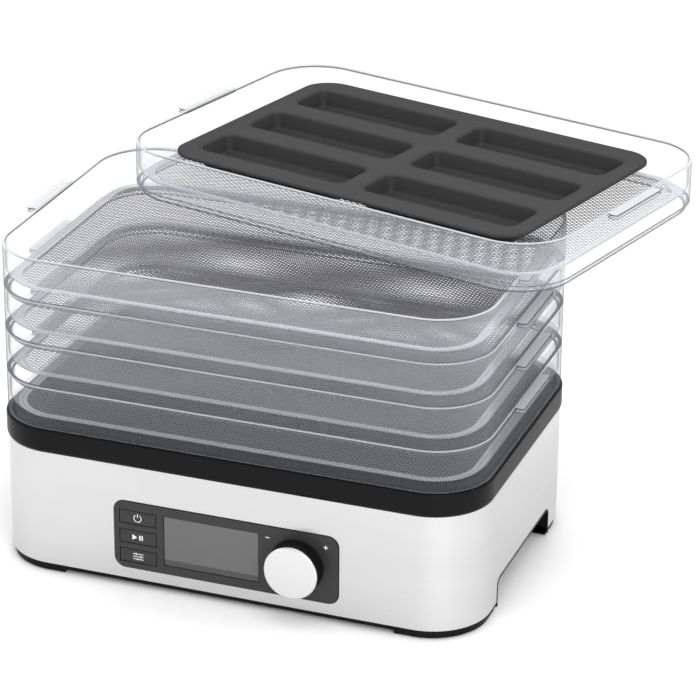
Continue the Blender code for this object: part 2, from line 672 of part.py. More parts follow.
def make_mould(finishes):
    """The silicone mould: a flat flange with six tapered cups under it."""
    flange_low = MOULD_HEIGHT - MOULD_FLANGE
    mould = prism("bar_mould", rounded_rectangle(MOULD_SIZE[0] / 2, MOULD_SIZE[1] / 2, 0.022),
                  flange_low, MOULD_HEIGHT, finishes["silicone"])
    wall = 0.0018
    taper = 0.0030
    cups = [(x * CUP_PITCH[0] / 2, y * CUP_PITCH[1]) for x in (-1, 1) for y in (-1, 0, 1)]

    def cup(x, y, shrink, z):
        """Return one ring of a cup, shrunk from its mouth."""
        ring = rounded_rectangle(CUP_SIZE[0] / 2 - shrink, CUP_SIZE[1] / 2 - shrink, 0.007, 2)
        return [(x + u, y + v) for u, v in ring], z

    for x, y in cups:
        join(mould, skin("cup", [cup(x, y, taper - wall, 0.0), cup(x, y, -wall, flange_low + 0.001)]))
    for x, y in cups:
        rise = 0.005
        over = taper * rise / (MOULD_HEIGHT - wall)
        carve(mould, skin("hollow", [cup(x, y, taper, wall), cup(x, y, -over, MOULD_HEIGHT + rise)]))
    lift = Matrix.Translation((*MOULD_PLACE, TRAY_FLOOR + GAP))
    mould.matrix_world = tray_place(TRAYS) @ lift
    return mould


# ---------------------------------------------------------------- fasteners


def make_screw(name, centre, tip, seat, finishes, axis="Z", radius=0.0015, head=0.0032):
    """A screw from its tip to under its head, which lies beyond the seat."""
    way = 1 if seat > tip else -1
    profile = [(radius, tip), (radius, seat), (head, seat), (head, seat + way * 0.0014),
               (head * 0.6, seat + way * 0.0020)]
    return turned(name, profile, 8, finishes["zinc_steel"], axis=axis, centre=centre)


def make_screws(finishes):
    """The case screws from below, the motor screws, and the screws of both boards."""
    for index, place in enumerate(POSTS, 1):
        make_screw(f"case_screw_{index}", place, 0.0220, 0.0030, finishes)
    for index, x in enumerate((-0.0135, 0.0135), 1):
        make_screw(f"motor_screw_{index}", (x, 0.0), 0.0310, 0.0388, finishes, radius=0.0009,
                   head=0.0026)
    for index, place in enumerate(BOARD_STANDOFFS[::3], 1):
        make_screw(f"power_board_screw_{index}", place, 0.0080, 0.0139, finishes, radius=0.0010,
                   head=0.0026)
    for index, place in enumerate(PANEL_PEGS[::3], 1):
        make_screw(f"panel_screw_{index}", place, FRONT + 0.0040, BOARD_Y + 0.0019, finishes,
                   axis="Y", radius=0.0009, head=0.0026)


def stand_on_origin():
    """Move everything so that the origin is the bottom centre of the common bounding box."""
    bpy.context.view_layer.update()
    solids = [made for made in bpy.context.scene.objects if made.type in ("MESH", "CURVE")]
    corners = [made.matrix_world @ vertex.co for made in solids if made.type == "MESH"
               for vertex in made.data.vertices]
    low = Vector([min(corner[axis] for corner in corners) for axis in range(3)])
    high = Vector([max(corner[axis] for corner in corners) for axis in range(3)])
    shift = Vector((-(low.x + high.x) / 2, -(low.y + high.y) / 2, -low.z))
    for made in solids:
        made.matrix_world = Matrix.Translation(shift) @ made.matrix_world
    return shift


def main():
    """Clear the scene and build the dehydrator."""
    for old in list(bpy.data.objects):
        bpy.data.objects.remove(old)
    finishes = make_materials()
    make_steel_sleeve(finishes)
    make_chassis(finishes)
    make_foot_pads(finishes)
    make_top_cover(finishes)
    make_grille(finishes)
    make_motor(finishes)
    make_motor_bracket(finishes)
    make_impeller(finishes)
    make_heater(finishes)
    make_air_duct(finishes)
    make_power_board(finishes)
    make_control_board(finishes)
    make_leads(finishes)
    make_panel(finishes)
    make_knob(finishes)
    make_trays(finishes)
    make_mould(finishes)
    make_screws(finishes)
    shift = stand_on_origin()
    print(f"The base's middle is at x {shift.x:.5f}, y {shift.y:.5f}, z {shift.z:.5f}")


main()
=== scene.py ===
"""Looks of the food dehydrator: steel base, clear trays, mesh floors and baking mould.

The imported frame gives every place. Each sub-assembly below is a class that works out its
surfaces with numpy and dresses them. Lengths are in metres.
"""

import json
import logging
from collections.abc import Iterable
from dataclasses import dataclass, field
from enum import Enum, IntEnum

import bmesh
import bpy
import numpy as np
from mathutils import Matrix, Vector


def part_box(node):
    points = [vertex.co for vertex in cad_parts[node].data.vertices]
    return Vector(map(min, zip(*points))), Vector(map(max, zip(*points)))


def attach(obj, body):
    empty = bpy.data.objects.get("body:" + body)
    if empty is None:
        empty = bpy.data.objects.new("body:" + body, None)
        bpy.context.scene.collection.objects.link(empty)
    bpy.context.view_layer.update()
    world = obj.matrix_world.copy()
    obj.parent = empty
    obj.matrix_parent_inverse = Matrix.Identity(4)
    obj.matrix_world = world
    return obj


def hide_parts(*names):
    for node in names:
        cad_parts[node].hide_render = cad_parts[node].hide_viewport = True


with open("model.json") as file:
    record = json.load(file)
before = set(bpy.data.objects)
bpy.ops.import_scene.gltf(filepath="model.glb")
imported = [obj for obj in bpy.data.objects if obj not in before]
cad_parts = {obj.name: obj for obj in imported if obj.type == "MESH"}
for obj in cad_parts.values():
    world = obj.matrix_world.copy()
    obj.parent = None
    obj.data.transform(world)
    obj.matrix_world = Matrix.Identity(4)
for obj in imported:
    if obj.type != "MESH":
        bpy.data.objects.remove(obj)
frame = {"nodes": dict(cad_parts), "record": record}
LOG = logging.getLogger("dehydrator")
Array = np.ndarray
Triple = tuple[float, float, float]
Material = bpy.types.Material
Socket = bpy.types.NodeSocket

QUARTERS = np.array([[1, 1], [-1, 1], [-1, -1], [1, -1]], float)  # signs of x and y, corner by corner
ASKEW = -14.2  # degrees that the top tray and the mould in it are turned about Z


class Facing(Enum):
    """How a piece's own (u, v, w) axes lie in the frame. w points out of the piece's face."""

    UP = ((1, 0, 0), (0, 1, 0), (0, 0, 1))
    FRONT = ((1, 0, 0), (0, 0, 1), (0, -1, 0))
    BACK = ((-1, 0, 0), (0, 0, 1), (0, 1, 0))
    RIGHT = ((0, 1, 0), (0, 0, 1), (1, 0, 0))
    LEFT = ((0, -1, 0), (0, 0, 1), (-1, 0, 0))


@dataclass(frozen=True)
class Spot:
    """Where a piece's own origin lies, which way it faces and how far it is turned about Z."""

    origin: tuple[float, float, float] = (0.0, 0.0, 0.0)
    facing: Facing = Facing.UP
    turn: float = 0.0

    def place(self, points: Array) -> Array:
        """Carry points from the piece's own axes into the frame.

        Args:
            points: Own coordinates, with (u, v, w) along the last axis.

        Returns:
            The same points as x, y, z: own axes, then a turn about Z, then the shift.
        """
        flat = points.reshape(-1, 3) @ np.array(self.facing.value, float)
        c, s = np.cos(self.turn), np.sin(self.turn)
        turned = np.column_stack(
            [flat[:, 0] * c - flat[:, 1] * s, flat[:, 0] * s + flat[:, 1] * c, flat[:, 2]]
        )
        return (turned + np.array(self.origin)).reshape(points.shape)


@dataclass(frozen=True)
class Outline:
    """A rounded rectangle in the (u, v) plane, walked anticlockwise."""

    half_u: float
    half_v: float
    radius: float
    steps: int = 20
    centre: tuple[float, float] = (0.0, 0.0)

    def rim(self, offset: float = 0.0) -> Array:
        """Give the points of the outline, grown by an offset.

        Args:
            offset: Distance outwards, along each point's own normal.

        Returns:
            Points of shape (n, 2): each corner's middle plus (radius + offset) times the
            direction that sweeps a quarter turn.
        """
        turn = np.linspace(0.0, 0.5 * np.pi, self.steps + 1)
        starts = np.arange(4)[:, None] * 0.5 * np.pi
        angle = starts + turn
        middle = QUARTERS * (self.half_u - self.radius, self.half_v - self.radius)
        reach = self.radius + offset
        points = middle[:, None] + reach * np.stack([np.cos(angle), np.sin(angle)], -1)
        return points.reshape(-1, 2) + self.centre


def circle(radius: float, count: int, centre: tuple[float, float] = (0.0, 0.0)) -> Array:
    """Give points evenly round a circle.

    Args:
        radius: The circle's radius.
        count: How many points.
        centre: Its middle.

    Returns:
        Points of shape (count, 2).
    """
    angle = np.linspace(0.0, 2 * np.pi, count, endpoint=False)
    return radius * np.column_stack([np.cos(angle), np.sin(angle)]) + centre


def at_heights(rows: Iterable[tuple[Array, float]]) -> Array:
    """Lift plan curves to their heights.

    Args:
        rows: Curves of shape (n, 2), each with its w.

    Returns:
        Points of shape (rows, n, 3).
    """
    return np.stack([np.column_stack([plan, np.full(len(plan), w)]) for plan, w in rows])


def round_edge(along: Array, half: float, reach: float, radius: float) -> Array:
    """Give the half height of a rounded rectangle over each place along it.

    Args:
        along: Places along it, from its middle.
        half: Half its length.
        reach: Half its height.
        radius: The radius of its corners.

    Returns:
        reach - radius + sqrt(radius^2 - past^2), where past is how far a place lies beyond the
        middle of the corner's round.
    """
    past = np.maximum(np.abs(along) - (half - radius), 0)
    return reach - radius + np.sqrt(np.maximum(radius**2 - past**2, 0))


def crowded(radius: float) -> Array:
    """Give radius times the sine of 13 even steps from 0 to a quarter turn."""
    return radius * np.sin(np.linspace(0, 0.5 * np.pi, 13))


def flat_bars(rows: list[tuple[float, float, float, float]]) -> Array:
    """Turn (u, v, half width, half height) rows into plan corners of shape (n, 4, 2)."""
    table = np.array(rows)
    return table[:, None, :2] - QUARTERS * table[:, None, 2:]


def soften(corners: list[tuple[float, float, float]], closed: bool = True, steps: int = 4) -> Array:
    """Round the corners of a profile.

    Args:
        corners: (a, b, cut) of each corner, where cut is how far from it the rounding starts.
        closed: Whether the last corner joins the first.
        steps: Pieces in each rounding.

    Returns:
        Points of shape (n, 2). Each rounding is the quadratic curve from the near point through
        the corner to the far point, (1-t)^2 P + 2t(1-t) C + t^2 Q.
    """
    rows = np.array(corners, float)
    at, cut = rows[:, :2], rows[:, 2:]
    before, after = np.roll(at, 1, 0) - at, np.roll(at, -1, 0) - at
    if not closed:
        before[0], after[-1] = after[0], before[-1]
    near = at + before / np.linalg.norm(before, axis=1, keepdims=True) * cut
    far = at + after / np.linalg.norm(after, axis=1, keepdims=True) * cut
    t = np.linspace(0.0, 1.0, steps + 1)[None, :, None]
    curve = (1 - t) ** 2 * near[:, None] + 2 * t * (1 - t) * at[:, None] + t**2 * far[:, None]
    points = curve.reshape(-1, 2)
    moved = np.linalg.norm(np.diff(points, axis=0), axis=1) > 1e-7
    return points[np.concatenate([[True], moved])]


class Piece:
    """Surfaces collected in a piece's own axes, then made into one object in the frame."""

    def __init__(self, name: str, spot: Spot = Spot()) -> None:
        """Start an empty piece.

        Args:
            name: The object's name.
            spot: Where its own axes lie.
        """
        self.name = name.replace(" ", "_")
        self.spot = spot
        self.points: list[Array] = []
        self.loops: list[Array] = []
        self.sizes: list[Array] = []
        self.slots: list[Array] = []
        self.count = 0

    def faces(self, points: Array, faces: Array, slot: int | Array = 0) -> None:
        """Add faces of equal size.

        Args:
            points: Own coordinates, of shape (n, 3).
            faces: Point numbers, of shape (m, corners).
            slot: Material number, one for all or one for each face.
        """
        self.points.append(self.spot.place(points))
        self.loops.append((faces + self.count).ravel())
        self.sizes.append(np.full(len(faces), faces.shape[1]))
        self.slots.append(np.broadcast_to(slot, len(faces)))
        self.count += len(points)

    def grid(
        self, points: Array, close_rows: bool = False, close_columns: bool = False,
        slot: int | Array = 0,
    ) -> None:
        """Add a surface given on a grid of two parameters.

        Args:
            points: Own coordinates, of shape (rows, columns, 3).
            close_rows: Whether the last row joins the first.
            close_columns: Whether the last column joins the first.
            slot: Material number, one for all or one for each gap between rows.
        """
        rows, columns = points.shape[:2]
        i = np.arange(rows if close_rows else rows - 1)
        j = np.arange(columns if close_columns else columns - 1)
        i, j = np.meshgrid(i, j, indexing="ij")
        up, on = (i + 1) % rows, (j + 1) % columns
        quads = np.stack([i * columns + j, i * columns + on, up * columns + on, up * columns + j], -1)
        slots = np.repeat(np.broadcast_to(slot, len(i)), quads.shape[1])
        self.faces(points.reshape(-1, 3), quads.reshape(-1, 4), slots)

    def sweep(
        self, outline: Outline, profile: Array, closed: bool = True, slot: int | Array = 0,
    ) -> None:
        """Carry a profile round an outline.

        Args:
            outline: The path.
            profile: (offset, w) pairs, of shape (m, 2).
            closed: Whether the profile joins up. If not, both ends get a flat lid.
            slot: Material number, one for all or one for each step of the profile.
        """
        self.rings(at_heights((outline.rim(offset), w) for offset, w in profile), closed, slot)

    def rings(self, rings: Array, closed: bool = True, slot: int | Array = 0) -> None:
        """Join closed rings of points, of shape (m, n, 3), into a tube or a lidded solid.

        Args:
            rings: The rings in order.
            closed: Whether the last ring joins the first. If not, both ends get a flat lid.
            slot: Material number, one for all or one for each step.
        """
        self.grid(rings, close_rows=closed, close_columns=True, slot=slot)
        if not closed:
            whole = np.arange(rings.shape[1])[None]
            ends = slot if np.isscalar(slot) else np.asarray(slot)[[0, -1]]
            self.faces(rings[0], whole[:, ::-1], np.ravel(ends)[:1])
            self.faces(rings[-1], whole, np.ravel(ends)[-1:])

    def lathe(
        self, profile: Array, count: int = 64, centre: tuple[float, float] = (0.0, 0.0),
        wave: float | Array = 0.0,
    ) -> None:
        """Turn a profile about an axis along w, with a lid on both ends.

        Args:
            profile: (radius, w) pairs, of shape (m, 2).
            count: Steps round the turn.
            centre: Where the axis stands.
            wave: A change of radius, one for all or of shape (m, count), for ridges.
        """
        radius = profile[:, :1] + wave
        plans = radius[..., None] * circle(1.0, count) + centre
        self.rings(at_heights(zip(plans, profile[:, 1])), closed=False)

    def slab(self, u: Array, low: Array, high: Array, bottom: float, top: float) -> None:
        """Add a plate between two curves over u, with straight sides along w.

        Args:
            u: Where the columns stand.
            low: The lower v of each column.
            high: The upper v of each column.
            bottom: The plate's lower w.
            top: The plate's upper w.
        """
        corners = [(low, bottom), (high, bottom), (high, top), (low, top)]
        bars = np.stack([np.stack([u, v, np.full_like(u, w)], -1) for v, w in corners], 1)
        self.rings(bars, closed=False)

    def boxes(self, corners: Array, bottom: float, top: float, slot: int = 0) -> None:
        """Add many upright bars at once.

        Args:
            corners: Plan corners in order, of shape (n, 4, 2).
            bottom: Lower w.
            top: Upper w.
            slot: Material number.
        """
        count = len(corners)
        low, high = at_heights([(corners.reshape(-1, 2), w) for w in (bottom, top)])
        points = np.concatenate([low.reshape(count, 4, 3), high.reshape(count, 4, 3)], 1)
        sides = [(0, 1, 5, 4), (1, 2, 6, 5), (2, 3, 7, 6), (3, 0, 4, 7)]
        one = np.array([(3, 2, 1, 0), (4, 5, 6, 7), *sides])
        every = one + 8 * np.arange(count)[:, None, None]
        self.faces(points.reshape(-1, 3), every.reshape(-1, 4), slot)

    def make(
        self, materials: list[Material], body: str, stands_for: tuple[str, ...] = (),
        sharp: float = 34.0,
    ) -> None:
        """Make the object and hand it to the frame.

        Args:
            materials: The materials in slot order.
            body: The body that it moves with.
            stands_for: CAD nodes that it replaces.
            sharp: Angle in degrees past which an edge stays sharp.
        """
        mesh = bpy.data.meshes.new(self.name)
        points, loops = np.concatenate(self.points), np.concatenate(self.loops)
        sizes = np.concatenate(self.sizes)
        mesh.vertices.add(len(points))
        mesh.vertices.foreach_set("co", points.astype(np.float32).ravel())
        mesh.loops.add(len(loops))
        mesh.loops.foreach_set("vertex_index", loops.astype(np.int32))
        mesh.polygons.add(len(sizes))
        starts = np.concatenate([[0], np.cumsum(sizes)[:-1]])
        mesh.polygons.foreach_set("loop_start", starts.astype(np.int32))
        mesh.polygons.foreach_set("material_index", np.concatenate(self.slots).astype(np.int32))
        mesh.update(calc_edges=True)
        mesh.validate()
        self._close(mesh)
        for material in materials:
            mesh.materials.append(material)
        mesh.shade_smooth()
        mesh.set_sharp_from_angle(angle=np.radians(sharp))
        made = bpy.data.objects.new(self.name, mesh)
        bpy.context.collection.objects.link(made)
        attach(made, body)
        if stands_for:
            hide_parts(*stands_for)
        LOG.info("%s: %d faces on %s", self.name, len(mesh.polygons), body)

    @staticmethod
    def _close(mesh: bpy.types.Mesh) -> None:
        """Merge points that meet, then turn every closed shell's faces outwards.

        Args:
            mesh: The piece's mesh.
        """
        work = bmesh.new()
        work.from_mesh(mesh)
        bmesh.ops.remove_doubles(work, verts=work.verts, dist=2e-6)
        bmesh.ops.recalc_face_normals(work, faces=work.faces)
        work.to_mesh(mesh)
        work.free()


# ------------------------------------------------------------------ finishes


class Recipe:
    """One material's shader nodes, while they are put together."""

    def __init__(self, name: str) -> None:
        """Start a material with its Principled shader.

        Args:
            name: The material's name.
        """
        self.material = bpy.data.materials.new(name)
        self.material.use_nodes = True
        self.tree = self.material.node_tree
        self.shader = self.tree.nodes["Principled BSDF"]

    def put(self, node: bpy.types.Node, title: str | int, value: object) -> None:
        """Set one of a node's inputs to a constant, or link a socket to it.

        Args:
            node: The node.
            title: The input's title or number.
            value: The constant or the socket.
        """
        if isinstance(value, Socket):
            self.tree.links.new(value, node.inputs[title])
        else:
            node.inputs[title].default_value = value

    def add(self, kind: str, *into: Socket, give: str | int = 0, **settings: object) -> Socket:
        """Add a node.

        Args:
            kind: Its type without the "ShaderNode" in front.
            into: Sockets for its first inputs, in order.
            give: Which of its outputs is wanted.
            settings: Values or sockets for its inputs, with _ for a space, or for its properties.

        Returns:
            The output.
        """
        node = self.tree.nodes.new("ShaderNode" + kind)
        for index, socket in enumerate(into):
            self.put(node, index, socket)
        for key, value in settings.items():
            title = key.replace("_", " ")
            if title in node.inputs:
                self.put(node, title, value)
            else:
                setattr(node, key, value)
        return node.outputs[give]

    def dress(self, **settings: object) -> None:
        """Set or link inputs of the Principled shader.

        Args:
            settings: Values or sockets, with _ for a space in the input's title.
        """
        for key, value in settings.items():
            self.put(self.shader, key.replace("_", " "), value)

    def height(self) -> Socket:
        """Give the height of each point in the object's own axes."""
        return self.add("SeparateXYZ", self.add("TexCoord", give="Object"), give="Z")

    def noise(self, scale: Triple, detail: float = 3.0) -> Socket:
        """Give a noise over Object coordinates.

        Args:
            scale: Waves per metre along x, y and z.
            detail: Octaves.

        Returns:
            The noise, from 0 to 1.
        """
        where = self.add("Mapping", self.add("TexCoord", give="Object"), Scale=scale)
        return self.add("TexNoise", where, Scale=1.0, Detail=detail)

    def ranged(self, value: Socket, low: float, high: float) -> Socket:
        """Map a value from 0..1 onto low..high."""
        return self.add("MapRange", value, To_Min=low, To_Max=high)

    def tones(
        self, value: Socket, low: Triple, high: Triple, places: tuple[float, float] = (0.0, 1.0)
    ) -> Socket:
        """Map a value onto a blend of two colours.

        Args:
            value: The value.
            low: The colour at the first place and below it.
            high: The colour at the second place and above it.
            places: The two values between which the colours blend.

        Returns:
            The colour.
        """
        blend = self.add("ValToRGB", value)
        for element, place, colour in zip(blend.node.color_ramp.elements, places, (low, high)):
            element.position, element.color = place, (*colour, 1.0)
        return blend


@dataclass(frozen=True)
class SolidFinish:
    """A moulded or plated finish with a fine grain in its gloss and its surface."""

    name: str
    colour: Triple
    roughness: float
    metallic: float = 0.0
    grain: Triple = (900.0, 900.0, 900.0)
    uneven: float = 0.05
    bump: float = 0.04
    mottle: float = 0.0
    anisotropy: float = 0.0
    specular: float = 0.5

    def build(self) -> Material:
        """Build the material: noise drives the roughness, a little height and a little colour.

        Returns:
            The material.
        """
        recipe = Recipe(self.name)
        recipe.dress(
            Base_Color=(*self.colour, 1.0), Metallic=self.metallic, Anisotropic=self.anisotropy,
            Specular_IOR_Level=self.specular,
        )
        value = recipe.noise(self.grain)
        recipe.dress(
            Roughness=recipe.ranged(value, self.roughness - self.uneven, self.roughness + self.uneven),
            Normal=recipe.add("Bump", Strength=self.bump, Distance=0.0002, Height=value),
        )
        if self.anisotropy:
            recipe.dress(Tangent=recipe.add("Tangent", direction_type="RADIAL", axis="Z"))
        if self.mottle:
            patch = recipe.noise((self.grain[0] / 40 + 9, self.grain[1] / 40 + 9, 30), 2.0)
            deep, pale = (tuple(min(1.0, c * (1 + share)) for c in self.colour)
                          for share in (-self.mottle, self.mottle))
            recipe.dress(Base_Color=recipe.tones(patch, deep, pale))
        return recipe.material


@dataclass(frozen=True)
class ClearFinish:
    """A see-through plastic: light passes, and a gloss that grows at a slant lies on it."""

    name: str
    through: Triple
    # The see-through tint at a slant, darker: painted shade for dark silhouette lines.
    slant_through: Triple
    haze: float
    gloss: float
    haze_colour: Triple = (0.9, 0.91, 0.93)
    roughness: float = 0.06
    fade: Triple = (0.0, 0.3, 1.0)

    def build(self) -> Material:
        """Build the material: a tinted Transparent shader, mixed with a pale glossy one.

        The see-through tint darkens at a slant: painted shade for the dark lines along the silhouettes of
        clear plastic. The gloss's share goes from haze, face on, to gloss at a slant. It is then
        multiplied by fade[2] at and below height fade[0], rising to 1 at height fade[1].

        Returns:
            The material.
        """
        recipe = Recipe(self.name)
        recipe.dress(Base_Color=(*self.haze_colour, 1.0), Roughness=self.roughness, IOR=1.49)
        slant = recipe.add("LayerWeight", Blend=0.35, give="Facing")
        # Painted shade: the see-through tint turns darker at a slant, for dark silhouette lines.
        tint = recipe.tones(slant, self.through, self.slant_through, (0.50, 0.93))
        low, high, least = self.fade
        rise = recipe.add("MapRange", recipe.height(), From_Min=low, From_Max=high, To_Min=least)
        share = recipe.ranged(slant, self.haze, self.gloss)
        share = recipe.add("Math", share, rise, operation="MULTIPLY")
        clear = recipe.add("BsdfTransparent", tint)
        mix = recipe.add("MixShader", share, clear, recipe.shader.outputs["BSDF"])
        recipe.put(recipe.tree.nodes["Material Output"], "Surface", mix)
        return recipe.material


@dataclass(frozen=True)
class DisplayFinish:
    """An unlit display: mid grey, with a darker strip along its lower edge."""

    name: str
    strip_top: float
    glow: float = 0.10
    strip: float = 0.045
    blur: float = 0.0002

    def build(self) -> Material:
        """Build the material: a steep ramp over the height splits the display in two tones.

        Returns:
            The material.
        """
        recipe = Recipe(self.name)
        edge = recipe.add(
            "MapRange", recipe.height(), From_Min=self.strip_top - self.blur,
            From_Max=self.strip_top + self.blur,
        )
        recipe.dress(
            Base_Color=recipe.tones(edge, (self.strip,) * 3, (self.glow,) * 3),
            Roughness=recipe.ranged(recipe.noise((60.0,) * 3), 0.16, 0.24),
        )
        return recipe.material


def built(finish: SolidFinish | ClearFinish) -> Material:
    """Declare a field that holds a finish's material."""
    return field(default_factory=finish.build)


@dataclass
class Finishes:
    """Every material of the appliance. Those of the inner pieces are named after the record's slots."""

    steel: Material = built(SolidFinish(
        "brushed steel", (0.60, 0.60, 0.598), 0.32, 1.0, (10.0, 10.0, 1500.0), 0.10, 0.10,
        mottle=0.06, anisotropy=0.55,
    ))
    black: Material = built(SolidFinish(
        "satin black", (0.006,) * 3, 0.36, grain=(1500.0,) * 3, bump=0.05, specular=0.08
    ))
    panel: Material = built(SolidFinish(
        "charcoal panel", (0.026, 0.026, 0.027), 0.40, grain=(1800.0,) * 3, bump=0.03, specular=0.3
    ))
    # Near-black for the band and plate behind the gap round the panel: painted shade of the gap.
    seam: Material = built(SolidFinish("panel seam", (0.004,) * 3, 0.6))
    icon: Material = built(SolidFinish("icon print", (0.80,) * 3, 0.5, bump=0.0))
    silicone: Material = built(SolidFinish(
        "charcoal silicone", (0.026, 0.026, 0.027), 0.62, grain=(700.0,) * 3, uneven=0.06,
        bump=0.06, mottle=0.06, specular=0.25,
    ))
    chrome: Material = built(SolidFinish("satin chrome", (0.68,) * 3, 0.24, 1.0, (60.0,) * 3, 0.03, 0.0))
    rubber: Material = built(SolidFinish("foot rubber", (0.02,) * 3, 0.85, bump=0.2))
    zinc: Material = built(SolidFinish(
        "zinc steel", (0.60, 0.60, 0.58), 0.36, 1.0, (300.0,) * 3, 0.08, 0.05, mottle=0.08
    ))
    board: Material = built(SolidFinish(
        "circuit board", (0.015, 0.12, 0.05), 0.42, grain=(400.0,) * 3, mottle=0.2
    ))
    component: Material = built(SolidFinish("component black", (0.02, 0.02, 0.022), 0.5))
    nylon: Material = built(SolidFinish("white nylon", (0.7, 0.69, 0.65), 0.5))
    mica: Material = built(SolidFinish(
        "mica", (0.50, 0.45, 0.36), 0.7, grain=(200.0,) * 3, mottle=0.15
    ))
    winding: Material = built(SolidFinish("heater wire", (0.40, 0.37, 0.35), 0.4, 1.0))
    insulation: Material = built(SolidFinish("red sleeve", (0.35, 0.03, 0.02), 0.5))
    wall: Material = built(ClearFinish(
        "clear wall", (0.994, 0.995, 0.997), (0.30, 0.31, 0.33), 0.08, 0.26, (0.80, 0.82, 0.86),
        fade=(0.12, 0.24, 0.3),
    ))
    # A paler, hazier copy of the clear plastic: painted highlight on tray rims, on the flat top and
    # bottom of the lugs and on the floor's ridges.
    edge: Material = built(ClearFinish(
        "clear edge", (0.72, 0.73, 0.75), (0.45, 0.46, 0.48), 0.45, 0.75, (0.78, 0.79, 0.80)
    ))
    # A darker copy of the clear plastic: painted shade for the dark lines under tray rims, at the step
    # and foot, and on the lugs' rounded edges.
    dark_edge: Material = built(ClearFinish(
        "dark edge", (0.30, 0.31, 0.34), (0.18, 0.19, 0.22), 0.25, 0.60, (0.20, 0.21, 0.23)
    ))
    border: Material = built(ClearFinish(
        "floor border", (0.93, 0.94, 0.95), (0.60, 0.61, 0.63), 0.24, 0.45, (0.80, 0.82, 0.86)
    ))
    bars: Material = built(ClearFinish(
        "mesh bars", (0.08, 0.08, 0.09), (0.06, 0.06, 0.07), 0.85, 0.95, (0.20, 0.20, 0.21), 0.10
    ))


# ------------------------------------------------------------------ base


@dataclass
class Base:
    """Where the base stands in the frame, its plan, and the arch of its hand holds."""

    centre: tuple[float, float]
    half_x: float
    half_y: float
    panel_z: float
    corner: float = 0.041
    arch_half: float = 0.058
    arch_top: float = 0.0237
    arch_round: float = 0.006

    @classmethod
    def from_frame(cls) -> "Base":
        """Read the plan from the steel sleeve's box and the panel's height from its bezel's.

        Returns:
            The base.
        """
        low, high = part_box("steel_sleeve")
        middle, half = (low + high) / 2, (high - low) / 2
        under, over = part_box("panel_bezel")
        return cls((middle.x, middle.y), half.x, half.y, (under.z + over.z) / 2)

    def middle_of(self, node: str) -> Triple:
        """Give the middle of a CAD node's box, measured from the base.

        Args:
            node: The node's name.

        Returns:
            Its x and y from the base's own middle, and its z.
        """
        low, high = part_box(node)
        at = (low + high) / 2
        return at.x - self.centre[0], at.y - self.centre[1], at.z

    def reach(self, facing: Facing) -> float:
        """Give how far one side lies from the base's middle, or 0 for a piece that faces up."""
        return float(np.abs(facing.value[2]) @ (self.half_x, self.half_y, 0.0))

    def spot(self, facing: Facing = Facing.UP, u: float = 0.0, v: float = 0.0) -> Spot:
        """Give the spot on one side of the base, with u and v measured along that side.

        Args:
            facing: Which side.
            u: Shift along the side.
            v: Shift upwards, or to the back for a piece that faces up.

        Returns:
            The spot. For a side it lies on the steel's outer face.
        """
        axes = np.array(facing.value, float)
        at = np.array([*self.centre, 0.0]) + axes[0] * u + axes[1] * v + axes[2] * self.reach(facing)
        return Spot(tuple(at), facing)

    def outline(self) -> Outline:
        """Give the base's plan."""
        return Outline(self.half_x, self.half_y, self.corner, 24)


